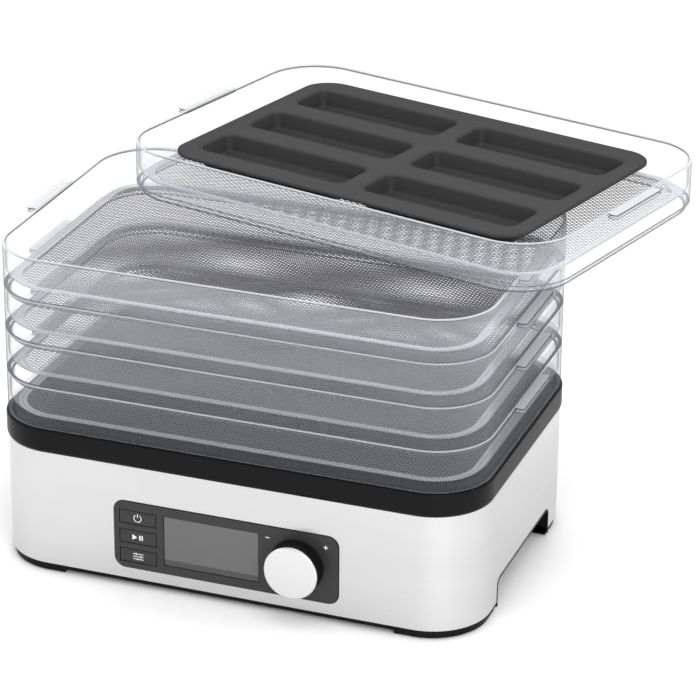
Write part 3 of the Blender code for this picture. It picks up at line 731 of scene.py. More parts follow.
@dataclass
class SteelSleeve:
    """The thin steel wrapper, with its panel opening and the arch over each hand hold."""

    base: Base
    finishes: Finishes
    bottom: float = 0.0067
    top: float = 0.0904
    wall: float = 0.0008
    opening: Triple = (0.0809, 0.0253, 0.0080)

    def _run(self, piece: Piece, outer: Array, low: Array | float, high: Array | float) -> None:
        """Add a stretch of wall whose lower and upper edges are curves along it.

        Args:
            piece: Where it goes.
            outer: Plan points with their outward normals, of shape (n, 4).
            low: Lower height of each column.
            high: Upper height of each column.
        """
        plan, normal = outer[:, :2], outer[:, 2:]
        inner = plan - self.wall * normal
        low, high = np.broadcast_to(low, len(plan)), np.broadcast_to(high, len(plan))
        rows = [(plan, low), (plan, high), (inner, high), (inner, low)]
        piece.rings(np.stack([np.column_stack([p, z]) for p, z in rows], 1), closed=False)

    def _side(self, along: Array, facing: Facing) -> Array:
        """Give columns on one flat side.

        Args:
            along: Where they stand along it, from its middle.
            facing: Which side.

        Returns:
            Plan points with their outward normals, of shape (n, 4).
        """
        u, _, w = np.array(facing.value, float)[:, :2]
        plan = along[:, None] * u + self.base.reach(facing) * w
        return np.column_stack([plan, np.broadcast_to(w, plan.shape)])

    def _corner(self, index: int) -> Array:
        """Give the columns of one corner, which sweep a quarter turn.

        Args:
            index: 0 to 3, anticlockwise from the front right.

        Returns:
            Plan points with their outward normals, of shape (n, 4).
        """
        base = self.base
        angle = (index - 1) * 0.5 * np.pi + np.linspace(0, 0.5 * np.pi, 33)
        way = np.column_stack([np.cos(angle), np.sin(angle)])
        middle = QUARTERS[index - 1] * (base.half_x - base.corner, base.half_y - base.corner)
        return np.column_stack([middle + base.corner * way, way])

    def build(self) -> None:
        """Build the wrapper as runs of wall round the base.

        A flat side's columns stand at half-length times the sine of evenly stepped angles, so
        they crowd where an arch or the opening bends.
        """
        base = self.base
        piece = Piece("steel wrapper", base.spot())
        crowd = np.sin(np.linspace(-0.5 * np.pi, 0.5 * np.pi, 49))
        wide, tall, radius = self.opening
        x, y = wide * crowd, base.arch_half * crowd
        reach = round_edge(x, wide, tall, radius)
        arch = round_edge(y, base.arch_half, base.arch_top, base.arch_round)
        self._run(piece, self._side(x, Facing.FRONT), self.bottom, base.panel_z - reach)
        self._run(piece, self._side(x, Facing.FRONT), base.panel_z + reach, self.top)
        for facing in (Facing.RIGHT, Facing.LEFT):
            self._run(piece, self._side(y, facing), arch, self.top)
        front = self._side(np.array([-wide, wide]), Facing.FRONT)
        right = self._side(np.array([-base.arch_half, base.arch_half]), Facing.RIGHT)
        left = self._side(np.array([-base.arch_half, base.arch_half]), Facing.LEFT)
        runs = (
            (front[1:], self._corner(0), right[:1]),
            (right[1:], self._corner(1), self._corner(2), left[:1]),
            (left[1:], self._corner(3), front[:1]),
        )
        for run in runs:
            self._run(piece, np.concatenate(run), self.bottom, self.top)
        piece.make([self.finishes.steel], "base", ("steel_sleeve",), sharp=30)


@dataclass
class Chassis:
    """The black bottom: plate with air slots, corner feet, pads and the hand-hold recesses."""

    base: Base
    finishes: Finishes
    inset: float = 0.0013
    bottom: float = 0.0033
    top: float = 0.0068
    recess: float = 0.0173
    shell: float = 0.0024
    liner_front: float = -0.0008
    edging: float = 0.0009
    edging_proud: float = 0.0003
    edging_back: float = -0.0010
    vent_half: tuple[float, float] = (0.0442, 0.034)
    slat_half: float = 0.0031
    slat_pitch: float = 0.0105
    foot_start: float = 0.119
    foot_deep: float = 0.017
    foot_gap: float = 0.0004
    foot_low: float = 0.0008

    def _arch(self, grow: float) -> Array:
        """Give the arch of a hand hold: two posts, two quarter rounds and a flat top.

        Args:
            grow: How far it is grown.

        Returns:
            Points (u, v) from the lower left over the top to the lower right.
        """
        base = self.base
        half, top, r = base.arch_half + grow, base.arch_top + grow, base.arch_round + grow
        angle = np.linspace(0.5 * np.pi, 0, 13)
        right = np.column_stack([half - r + r * np.cos(angle), top - r + r * np.sin(angle)])
        right = np.vstack([right, [[half, self.bottom]]])
        return np.vstack([right[::-1] * (-1, 1), right])

    def _plate(self, piece: Piece) -> None:
        """Add the bottom plate, notched at both hand holds, with slats across its vent.

        Each point of the vent's rim lies in the direction of a point of the plate's rim, at
        1 / max(|cos| / half width, |sin| / half depth) from the middle.

        Args:
            piece: Where it goes.
        """
        base = self.base
        rim = base.outline().rim(-self.inset)
        edge, at = base.half_x - self.inset, base.arch_half
        notch = np.array([[edge, -at], [edge - self.recess, -at], [edge - self.recess, at], [edge, at]])
        half = len(rim) // 2
        outer = np.concatenate([rim[:half], -notch, rim[half:], notch])
        angle = np.arctan2(outer[:, 1], outer[:, 0])
        way = np.column_stack([np.cos(angle), np.sin(angle)])
        inner = way / np.max(np.abs(way) / self.vent_half, axis=1, keepdims=True)
        rows = [(outer, self.bottom), (outer, self.top), (inner, self.top), (inner, self.bottom)]
        piece.rings(at_heights(rows))
        x = self.slat_pitch * (np.arange(-4, 4) + 0.5)
        slat = flat_bars([(u, 0.0, self.slat_half, self.vent_half[1] + 0.0005) for u in x])
        piece.boxes(slat, self.bottom + 0.0001, self.top - 0.0010)

    def _feet(self, piece: Piece) -> None:
        """Add the four corner feet, which follow the corners of the base.

        Args:
            piece: Where they go.
        """
        base = self.base
        turn = np.linspace(0.5 * np.pi, 0, 25)
        r, deep = base.corner - self.inset, self.foot_deep
        hx, hy = base.half_x - self.inset - self.foot_gap, base.half_y - self.inset - self.foot_gap
        arc = np.column_stack([hx - r + r * np.cos(turn), hy - r + r * np.sin(turn)])
        at, start = base.arch_half + 2 * self.foot_gap, self.foot_start
        inner = [(hx, at), (hx - deep, at), (hx - deep, hy - r), (hx - r, hy - deep), (start, hy - deep)]
        foot = np.vstack([[(start, hy)], arc, inner])
        for side in QUARTERS:
            rows = [(foot * side, self.foot_low), (foot * side, self.bottom + 0.0008)]
            piece.rings(at_heights(rows), closed=False)

    def _recess(self, facing: Facing) -> None:
        """Build one hand hold: a lined arch, its edging, and the wall at its back.

        Args:
            facing: Which side it is on.
        """
        liner = Piece(f"hand hold {facing.name.lower()}", self.base.spot(facing))
        arch, outer, lip = self._arch(0.0), self._arch(self.shell), self._arch(-self.edging)
        front, inside = self.liner_front, -self.inset - self.recess
        back = inside - self.shell
        lining = at_heights([(arch, front), (outer, front), (outer, back), (arch, inside)])
        liner.grid(lining, close_rows=True)
        proud, deep = self.edging_proud, self.edging_back
        edging = [(lip, proud), (arch, proud), (arch, deep), (lip, deep)]
        liner.grid(at_heights(edging), close_rows=True)
        for end in (0, -1):
            liner.faces(lining[:, end], np.arange(4)[None])
        liner.rings(at_heights([(arch, back), (arch, inside)]), closed=False)
        liner.make([self.finishes.black], "base", ("lower_chassis",))

    def build(self) -> None:
        """Build the bottom with its feet, both recesses, and the pads."""
        piece = Piece("black bottom", self.base.spot())
        self._plate(piece)
        self._feet(piece)
        piece.make([self.finishes.black], "base", ("lower_chassis",))
        for facing in (Facing.LEFT, Facing.RIGHT):
            self._recess(facing)
        profile = soften([(0.0040, 0.0, 0), (0.0060, 0.0, 0.0006), (0.0060, 0.0018, 0)], False)
        for index in (1, 2, 3, 4):
            x, y, _ = self.base.middle_of(f"foot_pad_{index}")
            pad = Piece(f"rubber pad {index}", self.base.spot(u=x, v=y))
            pad.lathe(profile, 32)
            pad.make([self.finishes.rubber], "base", (f"foot_pad_{index}",))


@dataclass
class TopCover:
    """The black band, the deck inside it and the round air outlet."""

    base: Base
    finishes: Finishes
    bottom: float = 0.0907
    top: float = 0.1070
    deck: float = 0.1012
    under: float = 0.0988
    skirt: float = 0.0780
    outlet: float = 0.0576
    outlet_low: float = 0.0984
    post: Triple = (0.130, 0.075, 0.0042)
    post_ends: tuple[float, float] = (0.0070, 0.0990)

    def build(self) -> None:
        """Build the band and deck as one ring of profiles, four posts, and the outlet.

        The profile goes round the base's plan, up the band, over its rim and in across the deck.
        It ends on circles, the outlet's seat, whose points lie in the directions of the plan's.
        """
        profile = soften(
            [(-0.0034, self.under, 0), (-0.0034, self.skirt, 0), (-0.0013, self.skirt, 0.0003),
             (-0.0013, self.bottom, 0), (0.0, self.bottom, 0.0002), (0.0010, 0.0921, 0.0008),
             (0.0010, self.top - 0.0004, 0.0008), (-0.0001, self.top, 0.0006),
             (-0.0018, self.top, 0.0003), (-0.0018, self.deck, 0.0008), (-0.0060, self.deck, 0)],
            False,
        )
        seat = [(0.0592, self.deck), (0.0580, self.deck - 0.0012), (0.0580, 0.0981),
                (0.0550, 0.0981), (0.0550, 0.0955), (0.0640, 0.0955), (0.0650, self.under)]
        outline = self.base.outline()
        way = outline.rim() / np.linalg.norm(outline.rim(), axis=1, keepdims=True)
        rows = [(outline.rim(offset), z) for offset, z in profile] + [(way * r, z) for r, z in seat]
        cover = Piece("top band and deck", self.base.spot())
        cover.rings(at_heights(rows))
        px, py, radius = self.post
        for x, y in QUARTERS[[0, 1, 3, 2]] * (px, py):
            cover.lathe(np.array([(radius, z) for z in self.post_ends]), 24, (x, y))
        cover.make([self.finishes.black], "base", ("top_cover",))
        self._outlet()

    def _outlet(self) -> None:
        """Build the outlet: a turned hub and two rings, joined by straight-sided spokes."""
        low, high = self.outlet_low, self.deck - 0.0003
        grille = Piece("air outlet", self.base.spot())
        hub = soften([(0.0145, low, 0), (0.0145, high, 0.0006), (0.0, high + 0.0001, 0)], False)
        grille.lathe(hub[:-1], 64)
        for near, far in ((0.0305, 0.0355), (0.0525, self.outlet)):
            ring = soften([(near, low, 0), (far, low, 0), (far, high, 0.0005), (near, high, 0.0005)])
            grille.rings(at_heights((circle(r, 96), z) for r, z in ring))
        for near, far, count, half in ((0.0140, 0.0310, 10, 0.0022), (0.0350, 0.0530, 20, 0.0026)):
            middle = (np.arange(count) + 0.5) * 2 * np.pi / count
            radius = np.array([near, far, far, near])
            spread = (np.pi / count - np.arcsin(half / radius)) * np.array([-1, -1, 1, 1])
            angle = middle[:, None] + spread
            plan = np.stack([radius * np.cos(angle), radius * np.sin(angle)], -1)
            grille.boxes(plan, low + 0.0001, high - 0.0001)
        grille.make([self.finishes.black], "base", ("air_outlet_grille",))


# ------------------------------------------------------------------ control panel


class Key(Enum):
    """The three keys, from the top down."""

    POWER = "power"
    START = "start"
    SET = "set"


class KeySlot(IntEnum):
    """The material slots of a key."""

    BODY = 0
    SIGN = 1


@dataclass
class ControlPanel:
    """The panel's face, display, three keys and printed signs."""

    base: Base
    finishes: Finishes
    half: Triple = (0.0803, 0.0247, 0.0075)
    # Size of the near-black band behind the panel's gap, which is painted shade.
    seam_half: Triple = (0.0820, 0.0264, 0.009)
    back: float = -0.0031
    proud: float = 0.0008
    display: tuple[float, float] = (-0.0443, 0.0243)
    display_half: float = 0.0185
    strip_share: float = 0.13
    key_x: tuple[float, float] = (-0.0766, -0.0494)
    key_half: float = 0.0052
    key_gap: float = 0.0005
    print_low: float = -0.0001
    print_top: float = 0.00006

    def _plate(
        self, face: Piece, left: float, right: float, low: float | None = None,
        high: float | None = None,
    ) -> None:
        """Add one plate of the face, with columns that follow the round of its ends.

        Args:
            face: Where it goes.
            left: Its left edge.
            right: Its right edge.
            low: Its lower edge. None means down to the face's own edge.
            high: Its upper edge. None means up to the face's own edge.
        """
        hu, hv, r = self.half
        bend = crowded(r)
        ends = np.concatenate([hu - bend, bend - hu])
        u = np.unique(np.concatenate([[left, right], ends[(ends > left) & (ends < right)]]))
        bound = round_edge(u, hu, hv, r)
        lows = -bound if low is None else np.full_like(u, low)
        highs = bound if high is None else np.full_like(u, high)
        face.slab(u, lows, highs, self.back, self.proud)

    def build(self) -> None:
        """Build the face from plates round the openings, then what sits in them."""
        middle = self.base.panel_z
        spot = self.base.spot(Facing.FRONT, v=middle)
        heights = {key: self.base.middle_of(f"button_{key.value}")[2] for key in Key}
        face = Piece("panel face", spot)
        (left, right), (near, far) = self.key_x, self.display
        edges: list[float | None] = [None]
        for z in sorted(heights.values()):
            edges += [z - middle - self.key_half, z - middle + self.key_half]
        edges.append(None)
        self._plate(face, -self.half[0], left)
        for low, high in zip(edges[::2], edges[1::2]):
            self._plate(face, left, right, low, high)
        self._plate(face, right, near)
        self._plate(face, near, far, high=-self.display_half)
        self._plate(face, near, far, low=self.display_half)
        self._plate(face, far, self.half[0])
        face.make([self.finishes.panel], "base", ("panel_bezel",))
        # A near-black band and plate behind the gap round the panel face: painted shade, so the gap reads
        # dark.
        seam = Piece("panel seam", spot)
        seam.sweep(Outline(*self.seam_half), np.array([(0.0, -0.0030), (0.0, -0.0009)]), False)
        seam.make([self.finishes.seam], "base", ("panel_bezel",))
        self._display()
        for key, z in heights.items():
            self._key(key, z)
        self._signs()

    def _display(self) -> None:
        """Build the display, a plate with slightly rounded edges."""
        near, far = self.display
        middle, half = self.base.panel_z, self.display_half
        glass = Piece("display glass", self.base.spot(Facing.FRONT, u=(near + far) / 2, v=middle))
        top = self.proud - 0.0002
        profile = soften([(0.0, -0.0010, 0), (0.0, top, 0.0003), (-0.0006, top, 0)], False)
        glass.sweep(Outline((far - near) / 2 - 0.0004, half - 0.0004, 0.0007, 5), profile, False)
        finish = DisplayFinish("display", middle - half + self.strip_share * 2 * half)
        glass.make([finish.build()], "base", ("display_window",))

    def _key(self, key: Key, z: float) -> None:
        """Build one key with its stem and its sign.

        Args:
            key: Which key.
            z: The height of its middle.
        """
        left, right = self.key_x
        piece = Piece(f"{key.value} key", self.base.spot(Facing.FRONT, u=(left + right) / 2, v=z))
        outline = Outline((right - left) / 2 - self.key_gap, self.key_half - self.key_gap, 0.0008, 5)
        top = self.proud + 0.0001
        profile = soften([(0.0, -0.0040, 0), (0.0, top, 0.0005), (-0.0009, top, 0)], False)
        piece.sweep(outline, profile, False)
        piece.sweep(Outline(0.0020, 0.0020, 0.0020, 6), np.array([(0, -0.0050), (0, -0.0039)]), False)
        piece.boxes(self._sign(key), top + self.print_low, top + self.print_top, KeySlot.SIGN)
        materials = [self.finishes.panel, self.finishes.icon]
        piece.make(materials, f"{key.value}_key", (f"button_{key.value}",))

    @staticmethod
    def _sign(key: Key) -> Array:
        """Give the sign of one key: a broken ring with a stroke, an arrow with two, or sliders.

        Args:
            key: Which key.

        Returns:
            Plan corners of its strokes, of shape (n, 4, 2).
        """
        if key is Key.POWER:
            angle = np.radians(90 + np.linspace(35, 325, 41))
            way = np.column_stack([np.cos(angle), np.sin(angle)])
            ring = np.stack([r * way for r in (0.0024, 0.0029)], 1)
            quads = np.concatenate([ring[:-1], ring[1:, ::-1]], 1)
            return np.concatenate([quads, flat_bars([(0.0, 0.0019, 0.00026, 0.0014)])])
        if key is Key.START:
            arrow = np.array([[-0.0040, -0.0020], [-0.0006, 0.0], [-0.0006, 0.0], [-0.0040, 0.0020]])
            bars = flat_bars([(u, 0.0, 0.00045, 0.0018) for u in (0.0014, 0.0031)])
            return np.concatenate([arrow[None], bars])
        lines = [(0.0, v, 0.0038, 0.00022) for v in (0.0019, 0.0, -0.0019)]
        places = ((-0.0015, 0.0019), (0.0018, 0.0), (-0.0005, -0.0019))
        return flat_bars(lines + [(u, v, 0.0005, 0.0007) for u, v in places])

    def _signs(self) -> None:
        """Build the minus and plus signs beside the dial."""
        signs = Piece("dial signs", self.base.spot(Facing.FRONT, v=self.base.panel_z))
        low, high = self.proud + self.print_low, self.proud + self.print_top
        level = [(0.0305, 0.0166, 0.0014, 0.00028), (0.0716, 0.0166, 0.0016, 0.00028)]
        signs.boxes(flat_bars(level), low, high)
        signs.boxes(flat_bars([(0.0716, 0.0166, 0.00028, 0.0016)]), low, high - 0.00001)
        signs.make([self.finishes.icon], "base")


@dataclass
class Dial:
    """The knob: a dark skirt with a fine knurl, under a satin metal face."""

    base: Base
    finishes: Finishes
    radius: float = 0.0188
    face: float = 0.0144
    ridges: int = 120
    ridge_height: float = 0.00005
    ridge_steps: int = 4

    def build(self) -> None:
        """Build the skirt, the face and the shaft behind them.

        The skirt's ridges change its radius by ridge_height times cos(ridges times the angle).
        """
        x, _, z = self.base.middle_of("knob_body")
        spot = self.base.spot(Facing.FRONT, u=x, v=z)
        r, top = self.radius, self.face
        skirt = Piece("dial skirt", spot)
        profile = soften([(r - 0.0004, 0.0013, 0), (r, 0.0013, 0.0004), (r, top - 0.0024, 0.0002),
                          (r - 0.0012, top - 0.0024, 0), (r - 0.0012, top - 0.0016, 0)], False)
        count = self.ridges * self.ridge_steps
        turns = np.linspace(0, 2 * np.pi, count, endpoint=False)
        on = profile[:, :1] > r - 1e-5
        skirt.lathe(profile, count, wave=self.ridge_height * np.cos(self.ridges * turns) * on)
        skirt.make([self.finishes.black], "knob", ("knob_body",), sharp=50)
        cap = Piece("dial face", spot)
        profile = soften([(r - 0.0010, top - 0.0021, 0), (r, top - 0.0021, 0.0002),
                          (r, top - 0.0008, 0.0003), (r - 0.0009, top, 0.0003),
                          (r - 0.0030, top, 0)], False, 5)
        cap.lathe(profile, 128)
        cap.make([self.finishes.chrome], "knob", ("knob_cap",), sharp=60)
        shaft = Piece("dial shaft", spot)
        shaft.lathe(np.array([(0.0028, -0.0035), (0.0028, 0.0094)]), 32)
        shaft.make([self.finishes.zinc], "knob", ("encoder_shaft",))


# ------------------------------------------------------------------ trays


class TraySlot(IntEnum):
    """The material slots of a tray."""

    WALL = 0
    # Painted highlight: the paler clear finish.
    EDGE = 1
    # Painted shade: the darker clear finish.
    DARK = 2
    BARS = 3
    BORDER = 4


@dataclass
class Tray:
    """One clear tray: wall, nesting skirt, lugs, and a floor of crossed bars."""

    number: int
    spot: Spot
    finishes: Finishes
    half_x: float = 0.1722
    half_y: float = 0.1137
    corner: float = 0.0407
    height: float = 0.0349
    step: float = 0.0046
    wall: float = 0.0018
    floor: float = 0.0099
    floor_thick: float = 0.0016
    strip: float = 0.0022
    border: float = 0.0130
    ridge_pitch: float = 0.0019
    ridge_half: float = 0.00042
    pitch: tuple[float, float] = (0.0051, 0.0032)
    bar: float = 0.00024
    bar_height: float = 0.00030
    overlap: float = 0.0006
    lug_half: float = 0.030
    lug_reach: float = 0.0070

    def build(self) -> None:
        """Build the tray's shell, lugs, ridged border and mesh as one object."""
        finishes = self.finishes
        tray = Piece(f"clear tray {self.number}", self.spot)
        self._shell(tray)
        self._lugs(tray)
        self._border(tray)
        self._mesh(tray)
        materials = [finishes.wall, finishes.edge, finishes.dark_edge, finishes.bars, finishes.border]
        tray.make(materials, f"tray_{self.number}_body", (f"tray_{self.number}",))

    def _outline(self, steps: int) -> Outline:
        """Give the tray's plan."""
        return Outline(self.half_x, self.half_y, self.corner, steps)

    def _shell(self, tray: Piece) -> None:
        """Carry the wall's profile round the tray.

        The rim gets the paler clear finish, a painted highlight; a strip under it, the step and the
        foot get the darker one, painted shade; and the ledge round the floor gets the border's.

        Args:
            tray: Where it goes.
        """
        w, h, f = self.wall, self.height, self.floor
        skirt, under = -w - 0.0008, f - self.floor_thick
        profile = soften([
            (skirt - w, under, 0.0004), (skirt - w, 0.0, 0.0006), (skirt, 0.0, 0.0006),
            (skirt, self.step, 0.0003), (0.0, self.step, 0.0005), (0.0, h, 0.0008), (-w, h, 0.0008),
            (-w, h - self.strip, 0.0001), (-w, f + 0.0050, 0.0030), (-0.0068, f, 0.0030),
            (-self.border, f, 0.0), (-self.border, under, 0.0),
        ])
        ahead = np.roll(profile, -1, 0)
        out, z = ((profile + ahead) / 2).T
        run = np.abs(ahead - profile)
        flat = run[:, 0] > 0.7 * run[:, 1]
        rim = z > h - 0.0009
        foot = (z < 0.0007) | ((np.abs(z - self.step) < 0.0006) & flat)
        strip = (z > h - self.strip) & (out < -w + 0.0001) & ~rim
        ledge = (z > f - 0.0001) & (z < f + 0.0030)
        # Painted highlight on the rim; painted shade on the strip under it, the step and the foot.
        slots = np.select(
            [rim, strip | foot, ledge], [TraySlot.EDGE, TraySlot.DARK, TraySlot.BORDER], TraySlot.WALL
        )
        tray.sweep(self._outline(20), profile, slot=slots)

    def _lugs(self, tray: Piece) -> None:
        """Add a lug in the middle of both short sides: painted shade on its rounded edges, and a painted
        highlight on its flat top and bottom.

        Args:
            tray: Where they go.
        """
        top, low = self.height - 0.0003, self.height - 0.0034
        near, far = self.half_x - 0.0009, self.half_x + self.lug_reach
        profile = soften([(-0.0008, low, 0), (0.0, low, 0.0007), (0.0, top, 0.0007), (-0.0008, top, 0)],
                         False)
        run = np.linalg.norm(np.diff(profile, axis=0), axis=1)
        # Painted shade on the rounded edges; painted highlight on the flat top and bottom.
        slots = np.where(run > 0.0008, TraySlot.WALL, TraySlot.DARK)
        slots[[0, -1]] = TraySlot.EDGE
        for side in (-1, 1):
            middle = (side * (near + far) / 2, 0.0)
            tray.sweep(Outline((far - near) / 2, self.lug_half, 0.0022, 6, middle), profile, False, slots)

    def _border(self, tray: Piece) -> None:
        """Add two rows of short ridges across the floor's border, all the way round, with a painted
        highlight.

        A ridge's corners lie on the row's inner and outer rings, at its distance along the outer
        one, a half width before it and behind it.

        Args:
            tray: Where they go.
        """
        outline = self._outline(24)
        for start, end, share in ((0.0072, 0.0096, 0.0), (0.0102, 0.0126, 0.5)):
            rims = (outline.rim(-end), outline.rim(-start))
            inner, outer = (np.vstack([rim, rim[:1]]) for rim in rims)
            steps = np.linalg.norm(np.diff(outer, axis=0), axis=1)
            length = np.concatenate([[0], np.cumsum(steps)])
            count = int(length[-1] / self.ridge_pitch)
            at = (np.arange(count) + share) * length[-1] / count
            corners = []
            for ring, shift in ((inner, -1), (outer, -1), (outer, 1), (inner, 1)):
                marks = (at + shift * self.ridge_half) % length[-1]
                corners.append(np.column_stack([np.interp(marks, length, axis) for axis in ring.T]))
            # The ridges get the paler clear finish, a painted highlight.
            tray.boxes(np.stack(corners, 1), self.floor - 0.0001, self.floor + 0.0004, TraySlot.EDGE)

    def _mesh(self, tray: Piece) -> None:
        """Add two families of slanting bars, clipped to the floor.

        A bar lies on the line u/pu + v/pv = k or u/pu - v/pv = k for whole k. Its ends are where
        the line leaves the floor's rounded rectangle, found on a fine run of points along it.

        Args:
            tray: Where they go.
        """
        pu, pv = self.pitch
        grow = self.overlap - self.border
        half, r = np.array([self.half_x, self.half_y]) + grow, self.corner + grow
        most = int(half[0] / pu + half[1] / pv)
        k = np.arange(-most, most + 1)
        start = np.column_stack([k * pu, 0 * k])
        t = np.linspace(-2.6 * half[1], 2.6 * half[1], 1601)
        for sign, drop in ((1, 0.0001), (-1, 0.00018)):
            way = np.array([pu, -sign * pv]) / np.hypot(pu, pv)
            points = start[:, None] + t[None, :, None] * way
            past = np.maximum(np.abs(points) - (half - r), 0)
            inside = np.hypot(past[..., 0], past[..., 1]) <= r
            kept = inside.sum(1) > 4
            first = t[inside.argmax(1)][kept]
            last = t[inside.shape[1] - 1 - inside[:, ::-1].argmax(1)][kept]
            across = np.array([-way[1], way[0]]) * self.bar
            a, b = (start[kept] + end[:, None] * way for end in (first, last))
            plan = np.stack([a - across, b - across, b + across, a + across], 1)
            top = self.floor - drop
            tray.boxes(plan, top - self.bar_height, top, TraySlot.BARS)


@dataclass
class BarMould:
    """The silicone mould: a flat flange with six tapered cups under it."""

    spot: Spot
    finishes: Finishes
    half: Triple = (0.142, 0.095, 0.022)
    height: float = 0.0135
    flange: float = 0.0020
    cup: Triple = (0.060, 0.018, 0.007)
    pitch: tuple[float, float] = (0.136, 0.0575)
    wall: float = 0.0018
    taper: float = 0.0030
    lip: float = 0.0016
    rim: float = 0.0008

    def _columns(self, left: float, right: float, extra: Array) -> Array:
        """Give column places between two limits, with those of the flange's corners.

        Args:
            left: The lower limit.
            right: The upper limit.
            extra: More places to keep.

        Returns:
            The places, in order.
        """
        hu, _, r = self.half
        bend = crowded(r - self.rim)
        outer = np.concatenate([hu - r + bend, r - hu - bend])
        marks = np.concatenate([[left, right], outer[(outer > left) & (outer < right)], extra])
        return np.unique(np.round(marks, 7))

    def build(self) -> None:
        """Build the flange from plates round the cups, its rounded rim, and the cups."""
        mould = Piece("silicone mould", self.spot)
        hu, hv, r = self.half
        top, low = self.height, self.height - self.flange
        wide, deep, bend_radius = np.array(self.cup) + self.lip
        middles = (-self.pitch[0] / 2, self.pitch[0] / 2)
        edge, p = hu - self.rim, self.pitch[1]
        for left, right in ((-edge, middles[0] - wide), (middles[0] + wide, middles[1] - wide),
                            (middles[1] + wide, edge)):
            u = self._columns(left, right, np.array([]))
            bound = round_edge(u, hu, hv, r) - self.rim
            mould.slab(u, -bound, bound, low, top)
        bend = wide - bend_radius + crowded(bend_radius)
        for middle in middles:
            u = self._columns(middle - wide, middle + wide, middle + np.concatenate([bend, -bend]))
            bound = round_edge(u, hu, hv, r) - self.rim
            reach = round_edge(u - middle, wide, deep, bend_radius)
            lines = [-bound, -p - reach, -p + reach, -reach, reach, p - reach, p + reach, bound]
            for under, over in zip(lines[::2], lines[1::2]):
                mould.slab(u, under, over, low, top)
        rim = soften([(-0.0012, low, 0), (0.0, low, 0.0009), (0.0, top, 0.0009), (-0.0012, top, 0)])
        mould.sweep(Outline(hu, hv, r, 20), rim)
        self._cups(mould, low, top)
        mould.make([self.finishes.silicone], "mould", ("bar_mould",), sharp=40)

    def _cups(self, mould: Piece, low: float, top: float) -> None:
        """Add the six cups: over the lip, down the inside, across the floor, and back outside.

        Args:
            mould: Where they go.
            low: The flange's lower face.
            top: The flange's upper face.
        """
        w, t, g = self.wall, self.taper, self.lip
        inner = [(-t - 0.0030, w, 0), (-t, w, 0.0024), (0.0, top, 0.0016), (g + 0.0002, top, 0)]
        outer = [(g + 0.0002, low, 0), (w, low, 0.0006), (w - t, 0.0, 0.0020), (w - t - 0.0030, 0.0, 0)]
        profile = np.vstack([soften(inner, False, 6), soften(outer, False, 6)])
        for x in (-0.5, 0.5):
            for y in (-1, 0, 1):
                middle = (x * self.pitch[0], y * self.pitch[1])
                mould.sweep(Outline(*self.cup, 8, middle), profile, False)


# ------------------------------------------------------------------ other pieces


@dataclass
class CordGland:
    """The round bush at the back, where the mains lead goes in."""

    base: Base
    finishes: Finishes

    def build(self) -> None:
        """Turn the bush's closed profile, flange outside and neck inside."""
        x, _, z = self.base.middle_of("cord_gland")
        gland = Piece("cord bush", self.base.spot(Facing.BACK, u=-x, v=z))
        profile = soften([(0.0090, 0.0003, 0), (0.0090, 0.0030, 0.0008), (0.0070, 0.0080, 0.0008),
                          (0.0036, 0.0080, 0.0006), (0.0036, -0.0080, 0), (0.0060, -0.0080, 0),
                          (0.0060, 0.0003, 0)])
        gland.rings(at_heights((circle(r, 48), w) for r, w in profile))
        gland.make([self.finishes.black], "base", ("cord_gland",))


def dress_inside(finishes: Finishes) -> None:
    """Give the carried-over inner pieces their materials, by the record's slots.

    Args:
        finishes: The materials.
    """
    other = {"clear": finishes.wall, "display": finishes.panel}
    slots = {part["node"]: part["material_slot"] for part in frame["record"]["subparts"]}
    for name, node in frame["nodes"].items():
        slot = slots[name]
        node.data.materials.clear()
        node.data.materials.append(other[slot] if slot in other else getattr(finishes, slot))


@dataclass(frozen=True)
class Lamp:
    """A square soft box, hung at one point and aimed at another."""

    name: str
    at: Triple
    aim: Triple
    size: float
    power: float

    def hang(self) -> None:
        """Make the lamp."""
        data = bpy.data.lights.new(self.name, "AREA")
        data.shape, data.size, data.energy = "SQUARE", self.size, self.power
        lamp = bpy.data.objects.new(self.name, data)
        bpy.context.collection.objects.link(lamp)
        lamp.location = self.at
        lamp.rotation_euler = (Vector(self.aim) - Vector(self.at)).to_track_quat("-Z", "Y").to_euler()


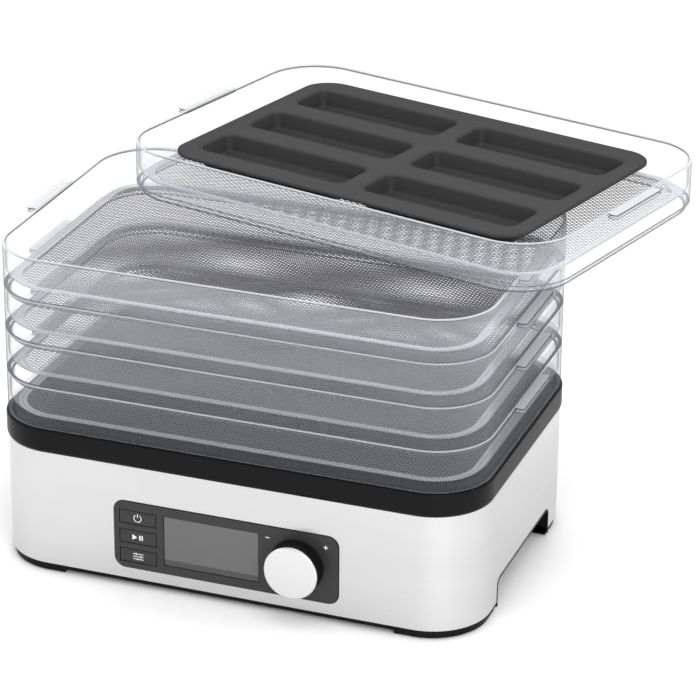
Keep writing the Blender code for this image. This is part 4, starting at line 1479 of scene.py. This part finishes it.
@dataclass
class Studio:
    """The pale floor, the lamps, the sky and the camera. Angles are in degrees."""

    base: Base
    azimuth: float = 20.01
    elevation: float = 23.94
    roll: float = 0.473
    distance: float = 2.150
    lens: float = 163.05
    target: Triple = (0.0456, 0.0, 0.1466)
    floor_half: float = 12.0
    lamps: tuple[Lamp, ...] = (
        Lamp("top box", (0.1, 0.1, 1.9), (0.0, 0.0, 0.1), 1.6, 16.0),
        Lamp("left box", (-1.6, -1.3, 0.9), (0.0, 0.0, 0.1), 1.0, 2.6),
        Lamp("right box", (1.0, -1.5, 0.9), (0.1, -0.2, 0.0), 0.9, 14.5),
    )

    def build(self) -> None:
        """Build the camera, the floor, the sky and the lamps."""
        self._camera()
        self._floor()
        self._sky()
        for lamp in self.lamps:
            lamp.hang()

    def _camera(self) -> None:
        """Aim the camera: back along its direction from the target, then rolled a little."""
        a, e, roll = np.radians([self.azimuth, self.elevation, self.roll])
        target = np.array(self.target) + (*self.base.centre, 0.0)
        back = np.array([np.sin(a) * np.cos(e), -np.cos(a) * np.cos(e), np.sin(e)])
        right = np.cross(-back, (0, 0, 1))
        right /= np.linalg.norm(right)
        up = np.cross(right, -back)
        c, s = np.cos(roll), np.sin(roll)
        side, rise = c * right + s * up, c * up - s * right
        data = bpy.data.cameras.new("camera")
        data.lens, data.sensor_width = self.lens, 36.0
        camera = bpy.data.objects.new("camera", data)
        bpy.context.collection.objects.link(camera)
        turn = Matrix(np.column_stack([side, rise, back]).tolist()).to_4x4()
        camera.matrix_world = Matrix.Translation(Vector(target + self.distance * back)) @ turn
        bpy.context.scene.camera = camera

    def _floor(self) -> None:
        """Lay a wide pale floor, with a faint unevenness in its gloss."""
        mesh = bpy.data.meshes.new("floor")
        half = self.floor_half
        mesh.from_pydata([(-half, -half, 0), (half, -half, 0), (half, half, 0), (-half, half, 0)], [],
                         [(0, 1, 2, 3)])
        floor = bpy.data.objects.new("floor", mesh)
        bpy.context.collection.objects.link(floor)
        finish = SolidFinish("pale floor", (0.93,) * 3, 0.55, grain=(5.0,) * 3, bump=0.0)
        mesh.materials.append(finish.build())

    def _sky(self) -> None:
        """Light everything evenly from all round."""
        world = bpy.data.worlds.new("studio")
        world.use_nodes = True
        light = world.node_tree.nodes["Background"]
        light.inputs["Color"].default_value = (1.0, 1.0, 1.0, 1.0)
        light.inputs["Strength"].default_value = 1.0
        bpy.context.scene.world = world
        bpy.context.scene.view_settings.view_transform = "Standard"


def spot_of(node: str, turn: float = 0.0) -> Spot:
    """Give the spot under the middle of a CAD node's box, level with its foot.

    Args:
        node: The node's name.
        turn: How far the piece is turned about Z, in degrees.

    Returns:
        The spot.
    """
    low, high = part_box(node)
    return Spot(((low.x + high.x) / 2, (low.y + high.y) / 2, low.z), turn=np.radians(turn))


def main() -> None:
    """Build every sub-assembly in order."""
    logging.basicConfig(level=logging.INFO, format="%(name)s %(message)s")
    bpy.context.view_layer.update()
    for leftover in ("Cube", "Light", "Camera"):
        if leftover in bpy.data.objects:
            bpy.data.objects.remove(bpy.data.objects[leftover])
    base = Base.from_frame()
    LOG.info("base centre %.4f, %.4f", *base.centre)
    finishes = Finishes()
    Studio(base).build()
    dress_inside(finishes)
    for part in (SteelSleeve, Chassis, TopCover, ControlPanel, Dial, CordGland):
        part(base, finishes).build()
    turns = (0.0, 0.0, 0.0, 0.0, ASKEW)
    for number, turn in enumerate(turns, 1):
        Tray(number, spot_of(f"tray_{number}", turn), finishes).build()
    BarMould(spot_of("bar_mould", ASKEW), finishes).build()


if __name__ == "__main__":
    main()
